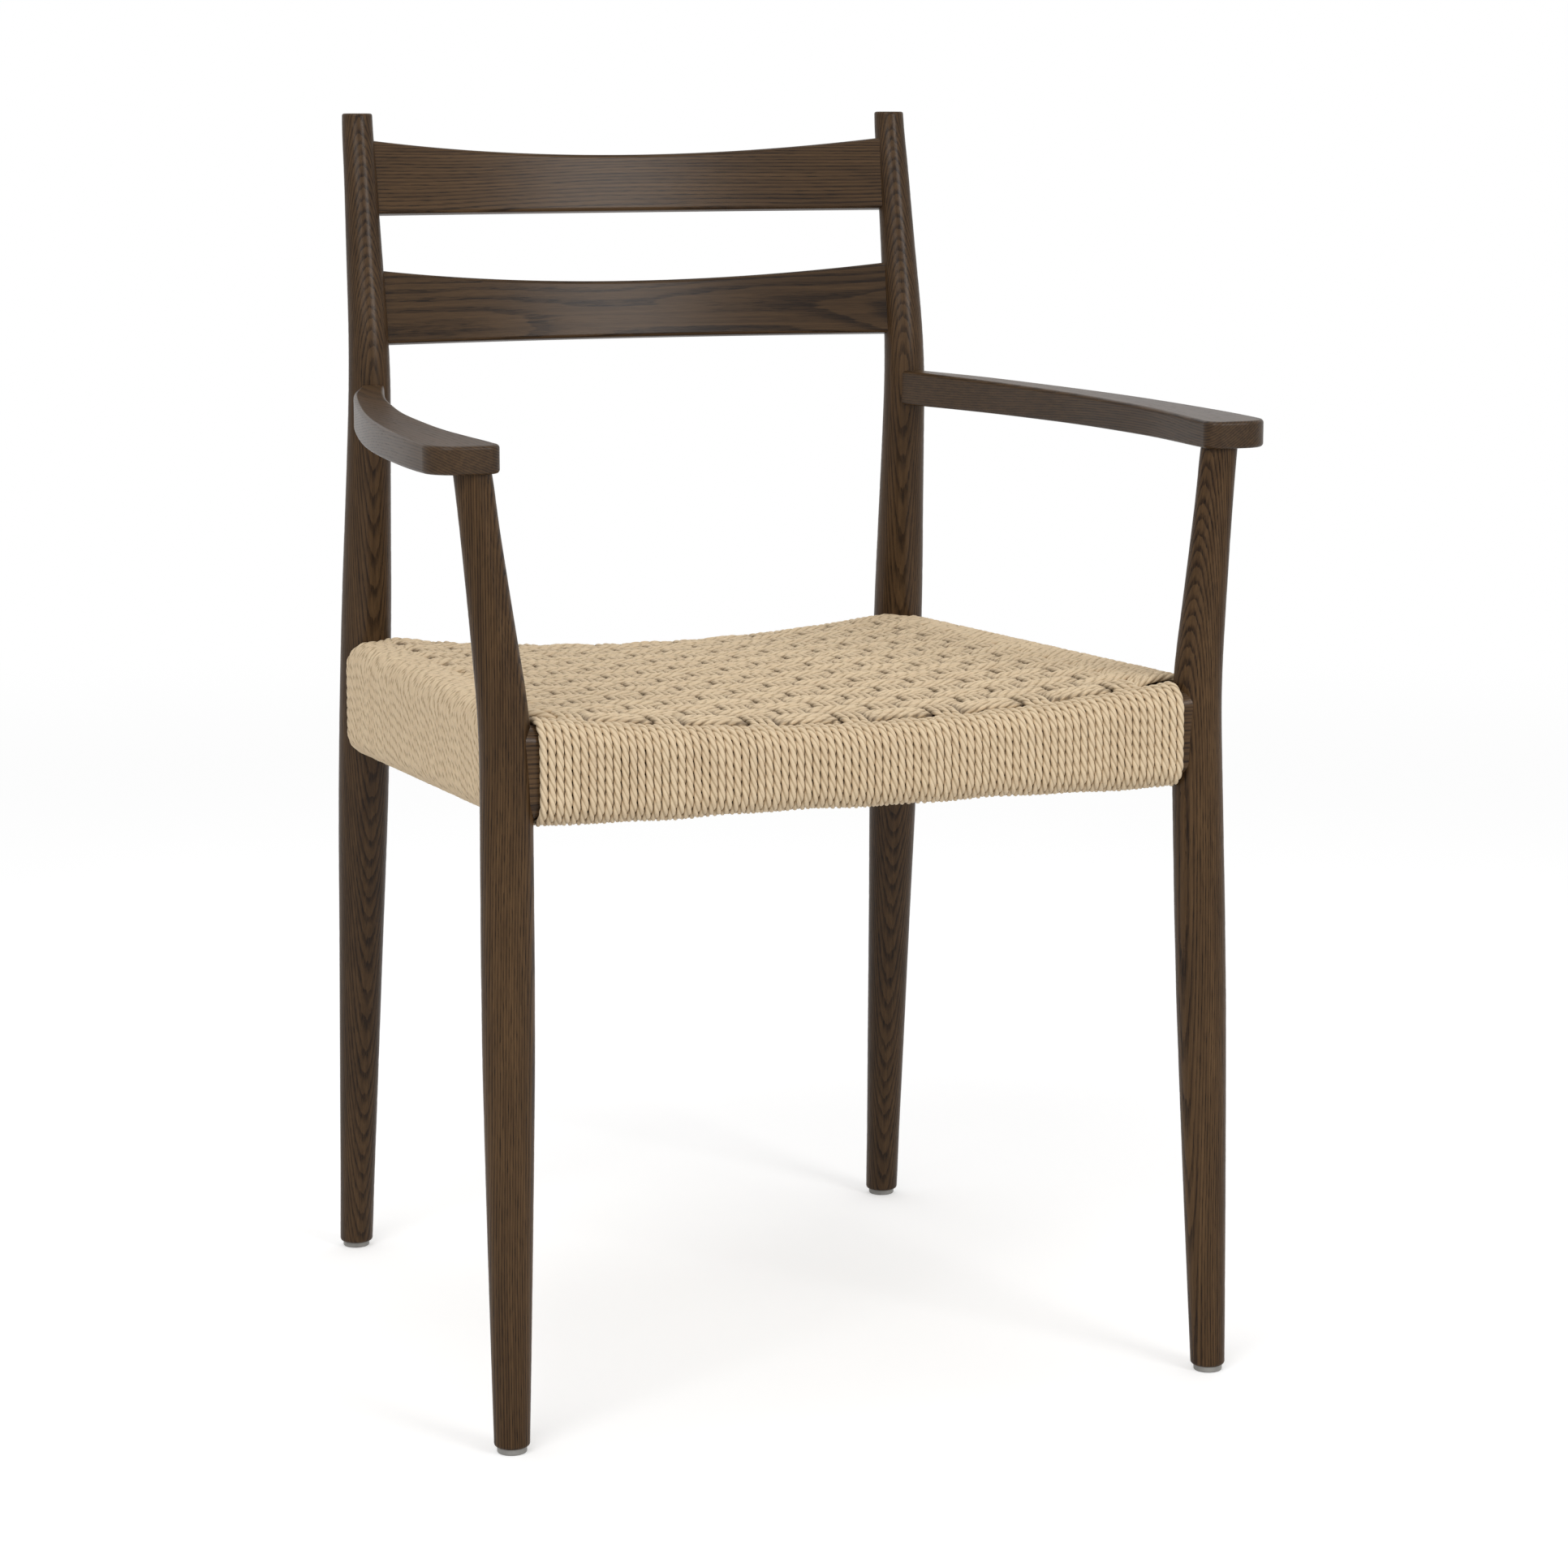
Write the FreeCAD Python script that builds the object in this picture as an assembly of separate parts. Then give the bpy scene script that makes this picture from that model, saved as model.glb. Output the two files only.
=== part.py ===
import FreeCAD, Part
import math
import os

# Dining armchair with a woven paper-cord seat on a dark stained ash frame.
# Millimetres, +Z up, the front of the chair faces -Y, and X = 0 is the plane of symmetry.
# The origin lies on the floor, in the middle of the box that holds the chair.

# Legs and posts: places of their centre lines and their thickest radius
foot_depth = 493.6
front_foot_half_width = 240.9
front_bend_half_width = 233.9
front_top_half_width = 251.2
front_bend_height = 452.0
front_bend_forward = 227.4
front_top_forward = 220.6
front_bend_softness = 34.0
front_leg_radius = 16.6
rear_foot_half_width = 207.7
rear_top_half_width = 200.0
rear_knee_above_arm = 35.5
back_rise = 175.0
rear_knee_back = 191.4
rear_top_back = 221.6
rear_knee_softness = 38.0
rear_post_radius = 18.0
post_top_rounding = 1.6
foot_rounding = 2.2
loft_steps = 22

# Nailed plastic glides under the four feet
glide_height = 4.0
glide_radius = 9.4
glide_rounding = 1.2
glide_pin_radius = 1.4
glide_pin_length = 18.0

# Armrests
arm_underside_height = 609.5
arm_front_thickness = 17.6
arm_rear_thickness = 24.8
arm_tip_past_leg = 17.0
arm_outside_leg = 31.2
arm_outer_corner = 20.0
arm_inner_corner = 10.0
arm_edge_rounding = 2.4
arm_tenon_radius = 7.0
arm_tenon_length = 11.0
arm_dowel_radius = 3.0
arm_dowel_length = 34.0
arm_dowel_spacing = 12.0

# Back slats, bowed backwards and hollowed along both edges
slat_thickness = 13.0
slat_end_height = 52.5
slat_bow = 32.0
slat_top_hollow = 7.3
slat_bottom_hollow = 4.7
slat_edge_rounding = 2.4
upper_slat_share = 0.7474
lower_slat_share = 0.2366
slat_tenon_thickness = 7.0
slat_tenon_height = 36.0
slat_tenon_past_centre = 1.0

# Seat rails of plain wood under the cord
rail_thickness = 26.0
rail_rounding = 12.0
rounding_limit_share = 0.46
front_rail_face_forward = 241.0
front_rail_bottom = 396.5
front_rail_end_top = 457.0
front_rail_scoop = 18.0
rear_rail_face_back = 220.5
rear_rail_bottom = 377.0
rear_rail_end_top = 449.5
rear_rail_scoop = 14.8
side_rail_front_half_width = 225.3
side_rail_rear_half_width = 204.6
side_rail_front_bottom = 400.0
side_rail_front_top = 456.7
side_rail_rear_bottom = 377.0
side_rail_rear_top = 448.0
rail_dowel_radius = 4.0
rail_dowel_length = 38.0

# Paper cord: one twisted cord wound on the rails and woven across the seat
cord_size = 5.0
seat_sheet_thickness = 9.5
seat_sheet_below_wrap = 1.0
seat_crown = 5.5
warp_group_count = 13
warp_group_pitch = 31.6
rear_fan_share = 0.937
weft_row_count = 20

# L-shaped nails that hold the cord on the inner faces of the rails
nail_radius = 1.1
nail_depth_in_rail = 11.0
nail_stand_off = 3.4
nail_hook_length = 8.0
nail_height_share = 0.35

# Running room between pieces that lie close without touching
fit_clearance = 0.3
cut_overrun = 60.0

# Sizes that follow from those above: the armrest's tip and widest line, which keep to the front
# leg, and the heights of the rear knee, the chair and the middles of the slats
arm_tip_forward = front_top_forward + arm_tip_past_leg
arm_outer_half_width = front_top_half_width + arm_outside_leg
rear_knee_height = arm_underside_height + rear_knee_above_arm
total_height = rear_knee_height + back_rise
upper_slat_middle_height = rear_knee_height + back_rise * upper_slat_share
lower_slat_middle_height = rear_knee_height + back_rise * lower_slat_share

# Radius along a leg, as shares of its length and of its thickest radius
front_leg_shares = (
    (0.00, 0.680), (0.10, 0.765), (0.20, 0.845), (0.30, 0.918), (0.40, 0.982),
    (0.50, 1.000), (0.60, 0.995), (0.70, 0.987), (0.76, 0.950), (0.82, 0.873),
    (0.88, 0.800), (0.94, 0.738), (1.00, 0.715),
)
rear_post_shares = (
    (0.00, 0.650), (0.07, 0.697), (0.14, 0.760), (0.21, 0.817), (0.28, 0.874),
    (0.36, 0.951), (0.43, 0.998), (0.52, 1.000), (0.60, 0.958), (0.66, 0.897),
    (0.72, 0.848), (0.78, 0.806), (0.83, 0.754), (0.90, 0.677), (1.00, 0.583),
)

# Plan of the armrest: shares of its length from the post to the tip,
# and shares of the way from the middle of the post out to its widest line
arm_inner_shares = (
    (0.000, -0.134), (0.148, 0.081), (0.260, 0.228), (0.373, 0.339), (0.508, 0.443),
    (0.643, 0.489), (0.778, 0.501), (0.891, 0.458), (1.000, 0.422),
)
arm_outer_shares = (
    (0.000, 0.061), (0.080, 0.208), (0.148, 0.342), (0.260, 0.509), (0.373, 0.649),
    (0.508, 0.796), (0.643, 0.903), (0.778, 0.969), (0.891, 1.000), (1.000, 0.978),
)

# Heights of the dowels in a rail's end, as shares of the rail's height there
cross_rail_dowel_shares = (0.20, 0.66)
side_rail_dowel_shares = (0.43, 0.84)

UP = FreeCAD.Vector(0, 0, 1)
LEFT = -1
RIGHT = 1
SIDES = ((LEFT, "left"), (RIGHT, "right"))


def point(x, y, z):
    return FreeCAD.Vector(x, y, z)


def mix(start, end, share):
    return start + (end - start) * share


def share_at(shares, where):
    """Straight-line reading of a table of shares."""
    for (low, low_value), (high, high_value) in zip(shares, shares[1:]):
        if where <= high:
            return mix(low_value, high_value, (where - low) / (high - low))
    return shares[-1][1]


def bent_value(height, foot, knee, top, softness):
    """A coordinate along two straight runs, each (value, height), with a soft bend at the knee."""
    low_slope = (knee[0] - foot[0]) / (knee[1] - foot[1])
    high_slope = (top[0] - knee[0]) / (top[1] - knee[1])
    value = knee[0] + low_slope * (height - knee[1])
    past = (height - knee[1] + softness) / (2 * softness)
    past = max(past, 0)
    if past < 1:
        return value + (high_slope - low_slope) * softness * past * past
    return knee[0] + high_slope * (height - knee[1])


def mirrored(shape, side):
    if side == LEFT:
        return shape.mirror(point(0, 0, 0), point(1, 0, 0))
    return shape


def single(shape):
    """The one solid of a boolean result."""
    return max(shape.Solids, key=lambda solid: solid.Volume)


# Centre lines and radii of legs and posts, for the right-hand side

def front_foot_radius():
    return front_leg_radius * front_leg_shares[0][1]


def rear_foot_radius():
    return rear_post_radius * rear_post_shares[0][1]


def front_foot_forward():
    return (foot_depth + rear_foot_radius() - front_foot_radius()) / 2


def rear_foot_back():
    return (foot_depth - rear_foot_radius() + front_foot_radius()) / 2


def front_leg_centre(height):
    x = bent_value(height, (front_foot_half_width, 0), (front_bend_half_width, front_bend_height),
                   (front_top_half_width, arm_underside_height), front_bend_softness)
    y = bent_value(height, (front_foot_forward(), 0), (front_bend_forward, front_bend_height),
                   (front_top_forward, arm_underside_height), front_bend_softness)
    return point(x, -y, height)


def rear_post_centre(height):
    x = mix(rear_foot_half_width, rear_top_half_width, height / total_height)
    y = bent_value(height, (rear_foot_back(), 0), (rear_knee_back, rear_knee_height),
                   (rear_top_back, total_height), rear_knee_softness)
    return point(x, y, height)


def front_leg_radius_at(height):
    share = (height - glide_height) / (arm_underside_height - glide_height)
    return front_leg_radius * share_at(front_leg_shares, share)


def rear_post_radius_at(height):
    share = (height - glide_height) / (total_height - glide_height)
    return rear_post_radius * share_at(rear_post_shares, share)


def turned_member(bottom, top, centre_at, radius_at):
    """A round tapering member through level circles along its centre line."""
    circles = []
    for step in range(loft_steps + 1):
        height = mix(bottom, top, step / loft_steps)
        circle = Part.Circle(centre_at(height), UP, radius_at(height))
        circles.append(Part.Wire([circle.toShape()]))
    return Part.makeLoft(circles, True, False)


def level_rims(shape, height):
    """The round edges of a member that lie level at a height."""
    rims = []
    for edge in shape.Edges:
        box = edge.BoundBox
        if abs(box.ZMin - height) < fit_clearance and abs(box.ZMax - height) < fit_clearance:
            rims.append(edge)
    return rims


def front_leg_body():
    body = turned_member(glide_height, arm_underside_height, front_leg_centre, front_leg_radius_at)
    return body.makeFillet(foot_rounding, level_rims(body, glide_height))


def rear_post_body():
    body = turned_member(glide_height, total_height, rear_post_centre, rear_post_radius_at)
    body = body.makeFillet(foot_rounding, level_rims(body, glide_height))
    return body.makeFillet(post_top_rounding, level_rims(body, total_height))


# Glides and their pins

def glide(centre):
    disc = Part.makeCylinder(glide_radius, glide_height, point(centre.x, centre.y, 0), UP)
    return disc.makeFillet(glide_rounding, level_rims(disc, 0))


def glide_pin(centre):
    start = point(centre.x, centre.y, glide_height / 2)
    return Part.makeCylinder(glide_pin_radius, glide_pin_length, start, UP)


# Armrests

def arm_length():
    return arm_tip_forward + rear_post_centre(arm_underside_height).y


def arm_plan_points(shares):
    rear = rear_post_centre(arm_underside_height)
    points = []
    for along, out in shares:
        x = rear.x + (arm_outer_half_width - rear.x) * out
        y = rear.y - arm_length() * along
        points.append(point(x, y, arm_underside_height))
    return points


def curve_through(points):
    curve = Part.BSplineCurve()
    curve.interpolate(points)
    return curve.toShape()


def upright_edges_at(shape, place):
    """The upright edges of a shape that stand over a point of its plan."""
    edges = []
    for edge in shape.Edges:
        box = edge.BoundBox
        away = max(abs(box.Center.x - place.x), abs(box.Center.y - place.y))
        if away < fit_clearance and max(box.XLength, box.YLength) < fit_clearance:
            edges.append(edge)
    return edges


def arm_body(post):
    """Armrest blank, tapered in thickness and coped against the post."""
    inner = arm_plan_points(arm_inner_shares)
    outer = arm_plan_points(arm_outer_shares)
    edges = [curve_through(inner), Part.makeLine(inner[-1], outer[-1])]
    edges += [curve_through(outer[::-1]), Part.makeLine(outer[0], inner[0])]
    plan = Part.Face(Part.Wire(edges))
    blank = plan.extrude(UP * (arm_rear_thickness + cut_overrun))
    for end, radius in ((inner[-1], arm_inner_corner), (outer[-1], arm_outer_corner)):
        blank = blank.makeFillet(radius, upright_edges_at(blank, end))
    rear_y = inner[0].y
    profile = Part.makePolygon([
        point(0, rear_y, arm_underside_height),
        point(0, rear_y, arm_underside_height + arm_rear_thickness),
        point(0, -arm_tip_forward, arm_underside_height + arm_front_thickness),
        point(0, -arm_tip_forward, arm_underside_height),
        point(0, rear_y, arm_underside_height),
    ])
    side_view = Part.Face(profile).extrude(point(arm_outer_half_width + cut_overrun, 0, 0))
    body = single(blank.common(side_view))
    rims = []
    for edge in body.Edges:
        box = edge.BoundBox
        upright = max(box.XLength, box.YLength) < fit_clearance
        if box.YMin < rear_y - arm_edge_rounding and not upright:
            rims.append(edge)
    body = body.makeFillet(arm_edge_rounding, rims)
    return single(body.cut(post))


def arm_tenon():
    """Round tenon on top of the front leg, up into the armrest."""
    centre = front_leg_centre(arm_underside_height)
    return Part.makeCylinder(arm_tenon_radius, arm_tenon_length, centre, UP)


def arm_middle(along):
    """Middle of the armrest's plan at a share of its length."""
    rear = rear_post_centre(arm_underside_height)
    out = (share_at(arm_inner_shares, along) + share_at(arm_outer_shares, along)) / 2
    x = mix(rear.x, arm_outer_half_width, out)
    return point(x, rear.y - arm_length() * along, arm_underside_height)


def arm_dowels():
    """Two dowels, one above the other, along the armrest's middle line into the post."""
    at_post = rear_post_radius_at(arm_underside_height) / arm_length()
    joint = arm_middle(at_post)
    ahead = arm_middle(2 * at_post) - joint
    ahead.normalize()
    dowels = []
    for step in (-1, 1):
        lift = UP * ((arm_rear_thickness + step * arm_dowel_spacing) / 2)
        start = joint + lift - ahead * (arm_dowel_length / 2)
        dowels.append(Part.makeCylinder(arm_dowel_radius, arm_dowel_length, start, ahead))
    return Part.makeCompound(dowels)


# Back slats

def post_lean():
    """Backward lean of the posts above the knee, in degrees from upright."""
    rise = total_height - rear_knee_height
    return math.degrees(math.atan2(rear_top_back - rear_knee_back, rise))


def bowed_plate(half_length, thickness, height, top_hollow, bottom_hollow):
    """A plate standing on edge, bowed back in plan, hollow along its top and bottom edges."""
    reach = rear_post_centre(upper_slat_middle_height).x
    radius = (reach * reach + slat_bow * slat_bow) / (2 * slat_bow)
    centre_y = slat_bow - radius

    def arc_edge(offset):
        bend = radius + offset
        end_y = centre_y + math.sqrt(bend * bend - half_length * half_length)
        ends = [point(-half_length, end_y, 0), point(0, centre_y + bend, 0), point(half_length, end_y, 0)]
        return ends, Part.Arc(*ends).toShape()

    near_ends, near_arc = arc_edge(-thickness / 2)
    far_ends, far_arc = arc_edge(thickness / 2)
    plan = Part.Face(Part.Wire([
        near_arc,
        Part.makeLine(near_ends[2], far_ends[2]),
        far_arc,
        Part.makeLine(far_ends[0], near_ends[0]),
    ]))
    bar = plan.extrude(UP * height)
    bar.translate(UP * (-height / 2))
    front_y = -cut_overrun - thickness
    top_left = point(-half_length, front_y, height / 2)
    top_right = point(half_length, front_y, height / 2)
    low_left = point(-half_length, front_y, -height / 2)
    low_right = point(half_length, front_y, -height / 2)
    top_middle = point(0, front_y, height / 2 - top_hollow)
    low_middle = point(0, front_y, -height / 2 + bottom_hollow)
    front = Part.Face(Part.Wire([
        Part.Arc(top_left, top_middle, top_right).toShape(),
        Part.makeLine(top_right, low_right),
        Part.Arc(low_right, low_middle, low_left).toShape(),
        Part.makeLine(low_left, top_left),
    ]))
    window = front.extrude(point(0, 2 * cut_overrun + slat_bow + 2 * thickness, 0))
    return single(bar.common(window))


def long_edges(shape, least_length):
    return [edge for edge in shape.Edges if edge.Length > least_length]


def seat_slat_in_posts(plate, middle_height):
    """Lean a plate with the posts and set it on their centre lines."""
    centre = rear_post_centre(middle_height)
    placed = plate.copy()
    placed.rotate(point(0, 0, 0), point(1, 0, 0), -post_lean())
    placed.translate(point(0, centre.y, middle_height))
    return placed


def slat(middle_height, posts):
    reach = rear_post_centre(middle_height).x
    plate = bowed_plate(reach, slat_thickness, slat_end_height, slat_top_hollow, slat_bottom_hollow)
    plate = plate.makeFillet(slat_edge_rounding, long_edges(plate, reach))
    tongue = bowed_plate(reach + slat_tenon_past_centre, slat_tenon_thickness,
                         slat_tenon_height, slat_top_hollow, slat_bottom_hollow)
    body = seat_slat_in_posts(plate, middle_height)
    for post in posts:
        body = body.cut(post)
    return single(single(body).fuse(seat_slat_in_posts(tongue, middle_height)))


# Seat rails. A rail's blank and the cord's sleeve around it share one outline.

def rounding_of_rail():
    return min(rail_rounding, rail_thickness * rounding_limit_share)


def scooped_rail(face_y, depth_direction, bottom, end_top, scoop, half_length, grow):
    """A rail across the chair whose top edge dips to the middle, grown by the cord where asked."""
    low_left = point(-half_length, face_y - depth_direction * grow, bottom - grow)
    low_right = point(half_length, face_y - depth_direction * grow, bottom - grow)
    top_left = point(-half_length, low_left.y, end_top + grow)
    top_right = point(half_length, low_left.y, end_top + grow)
    middle = point(0, low_left.y, end_top - scoop + grow)
    face = Part.Face(Part.Wire([
        Part.makeLine(low_left, low_right),
        Part.makeLine(low_right, top_right),
        Part.Arc(top_right, middle, top_left).toShape(),
        Part.makeLine(top_left, low_left),
    ]))
    blank = face.extrude(point(0, depth_direction * (rail_thickness + 2 * grow), 0))
    return blank.makeFillet(rounding_of_rail() + grow, long_edges(blank, half_length))


def front_rail_blank(grow):
    half_length = front_leg_centre(front_rail_bottom).x
    return scooped_rail(-front_rail_face_forward, 1, front_rail_bottom, front_rail_end_top,
                        front_rail_scoop, half_length, grow)


def rear_rail_blank(grow):
    half_length = rear_post_centre(rear_rail_bottom).x
    return scooped_rail(rear_rail_face_back, -1, rear_rail_bottom, rear_rail_end_top,
                        rear_rail_scoop, half_length, grow)


def side_rail_ends():
    """Y of the middle of the front leg and of the rear post, where the side rail starts and ends."""
    return front_leg_centre(side_rail_front_top).y, rear_post_centre(side_rail_rear_top).y


def side_rail_half_width(y):
    front_y, rear_y = side_rail_ends()
    return mix(side_rail_front_half_width, side_rail_rear_half_width, (y - front_y) / (rear_y - front_y))


def side_rail_top(y):
    front_y, rear_y = side_rail_ends()
    return mix(side_rail_front_top, side_rail_rear_top, (y - front_y) / (rear_y - front_y))


def side_rail_bottom(y):
    front_y, rear_y = side_rail_ends()
    return mix(side_rail_front_bottom, side_rail_rear_bottom, (y - front_y) / (rear_y - front_y))


def side_rail_blank(grow):
    """The right-hand side rail, deeper at the rear, between the middles of leg and post."""
    front_y, rear_y = side_rail_ends()
    corners = []
    for y, end_low, end_top in (
        (front_y, side_rail_front_bottom, side_rail_front_top),
        (rear_y, side_rail_rear_bottom, side_rail_rear_top),
    ):
        x = side_rail_half_width(y) - rail_thickness / 2 - grow
        corners.append((point(x, y, end_low - grow), point(x, y, end_top + grow)))
    (front_low, front_top), (rear_low, rear_top) = corners
    face = Part.Face(Part.makePolygon([front_low, rear_low, rear_top, front_top, front_low]))
    blank = face.extrude(point(rail_thickness + 2 * grow, 0, 0))
    return blank.makeFillet(rounding_of_rail() + grow, long_edges(blank, (rear_y - front_y) / 2))


def slab(x_low, x_high, y_low, y_high):
    """A tall block between two planes across X and two across Y, for trimming."""
    height = total_height
    return Part.makeBox(x_high - x_low, y_high - y_low, height, point(x_low, y_low, 0))


def front_wrap_half_length():
    height = (front_rail_bottom + front_rail_end_top) / 2
    return front_leg_centre(height).x - front_leg_radius_at(height) - fit_clearance


def rear_wrap_half_length():
    height = (rear_rail_bottom + rear_rail_end_top) / 2
    return rear_post_centre(height).x - rear_post_radius_at(height) - fit_clearance


def front_wrap_inner_y():
    return -front_rail_face_forward + rail_thickness + cord_size


def side_wrap_front_y():
    height = side_rail_front_bottom
    leg_back = front_leg_centre(side_rail_front_top).y + front_leg_radius_at(height)
    return max(front_wrap_inner_y(), leg_back) + fit_clearance


def side_wrap_rear_y():
    height = side_rail_rear_top + cord_size
    post_front = rear_post_centre(height).y - rear_post_radius_at(height)
    rear_wrap_inner = rear_rail_face_back - rail_thickness - cord_size
    return min(rear_wrap_inner, post_front) - fit_clearance


def rail_dowels_across(blank_half_length, y, bottom, end_top):
    """Dowels along X in both ends of the front or rear rail."""
    dowels = []
    for share in cross_rail_dowel_shares:
        height = mix(bottom, end_top, share)
        for side, _ in SIDES:
            inner = blank_half_length - rail_dowel_length / 2
            start = point(side * inner, y, height)
            dowels.append(Part.makeCylinder(rail_dowel_radius, rail_dowel_length, start, point(side, 0, 0)))
    return dowels


def side_rail_dowels():
    """Dowels along Y in both ends of the right-hand side rail."""
    front_y = side_wrap_front_y()
    rear_y = side_wrap_rear_y()
    dowels = []
    for share in side_rail_dowel_shares:
        front_height = mix(side_rail_bottom(front_y), side_rail_top(front_y), share)
        rear_height = mix(side_rail_bottom(rear_y), side_rail_top(rear_y), share)
        front_start = point(side_rail_half_width(front_y), front_y + rail_dowel_length / 2, front_height)
        rear_start = point(side_rail_half_width(rear_y), rear_y - rail_dowel_length / 2, rear_height)
        dowels.append(Part.makeCylinder(rail_dowel_radius, rail_dowel_length, front_start, point(0, -1, 0)))
        dowels.append(Part.makeCylinder(rail_dowel_radius, rail_dowel_length, rear_start, point(0, 1, 0)))
    return dowels


# Nails on the inner faces of the rails

def hooked_nail(face_point, inward, wrap):
    """A nail driven into a rail: a straight shank out through the cord, bent down at its end."""
    out = FreeCAD.Vector(inward)
    out.normalize()
    reach = wrap + nail_stand_off
    start = face_point - out * nail_depth_in_rail
    bend = face_point + out * reach
    shank = Part.makeCylinder(nail_radius, nail_depth_in_rail + reach, start, out)
    knuckle = Part.makeSphere(nail_radius, bend)
    hook = Part.makeCylinder(nail_radius, nail_hook_length, bend, point(0, 0, -1))
    return single(shank.fuse([knuckle, hook]))


def cross_rail_nails(inner_y, inward_y, low, top, pitch):
    nails = []
    for number in range(warp_group_count):
        x = (number - (warp_group_count - 1) / 2) * pitch
        face_point = point(x, inner_y, mix(low, top, nail_height_share))
        nails.append(hooked_nail(face_point, point(0, inward_y, 0), cord_size))
    return nails


def side_rail_nails():
    front_y = side_wrap_front_y()
    rear_y = side_wrap_rear_y()
    nails = []
    for number in range(weft_row_count):
        y = mix(front_y, rear_y, (2 * number + 1) / (2 * weft_row_count))
        x = side_rail_half_width(y) - rail_thickness / 2
        height = mix(side_rail_bottom(y), side_rail_top(y), nail_height_share)
        nails.append(hooked_nail(point(x, y, height), point(-1, 0, 0), cord_size))
    return nails


# Woven seat: a saddle that follows the scooped rails and is crowned between them

def saddle_section(y, half_width, end_top, scoop):
    """Closed section across the seat at one y, hollow above like the rail it starts from."""
    top = end_top + cord_size - seat_sheet_below_wrap
    low = top - seat_sheet_thickness
    top_left = point(-half_width, y, top)
    top_right = point(half_width, y, top)
    low_left = point(-half_width, y, low)
    low_right = point(half_width, y, low)
    return Part.Wire([
        Part.Arc(top_left, point(0, y, top - scoop), top_right).toShape(),
        Part.makeLine(top_right, low_right),
        Part.Arc(low_right, point(0, y, low - scoop), low_left).toShape(),
        Part.makeLine(low_left, top_left),
    ])


def seat_sheet(cutters):
    front_y = -front_rail_face_forward + rail_thickness / 2
    rear_y = rear_rail_face_back - rail_thickness / 2
    front_reach = front_leg_centre(front_rail_bottom).x
    rear_reach = rear_post_centre(rear_rail_bottom).x
    front = saddle_section(front_y, front_reach, front_rail_end_top, front_rail_scoop)
    middle = saddle_section(
        (front_y + rear_y) / 2,
        (front_reach + rear_reach) / 2,
        (front_rail_end_top + rear_rail_end_top) / 2,
        (front_rail_scoop + rear_rail_scoop) / 2 - seat_crown,
    )
    rear = saddle_section(rear_y, rear_reach, rear_rail_end_top, rear_rail_scoop)
    sheet = Part.makeLoft([front, middle, rear], True, False)
    for cutter in cutters:
        sheet = sheet.cut(cutter)
    return single(sheet)


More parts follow.
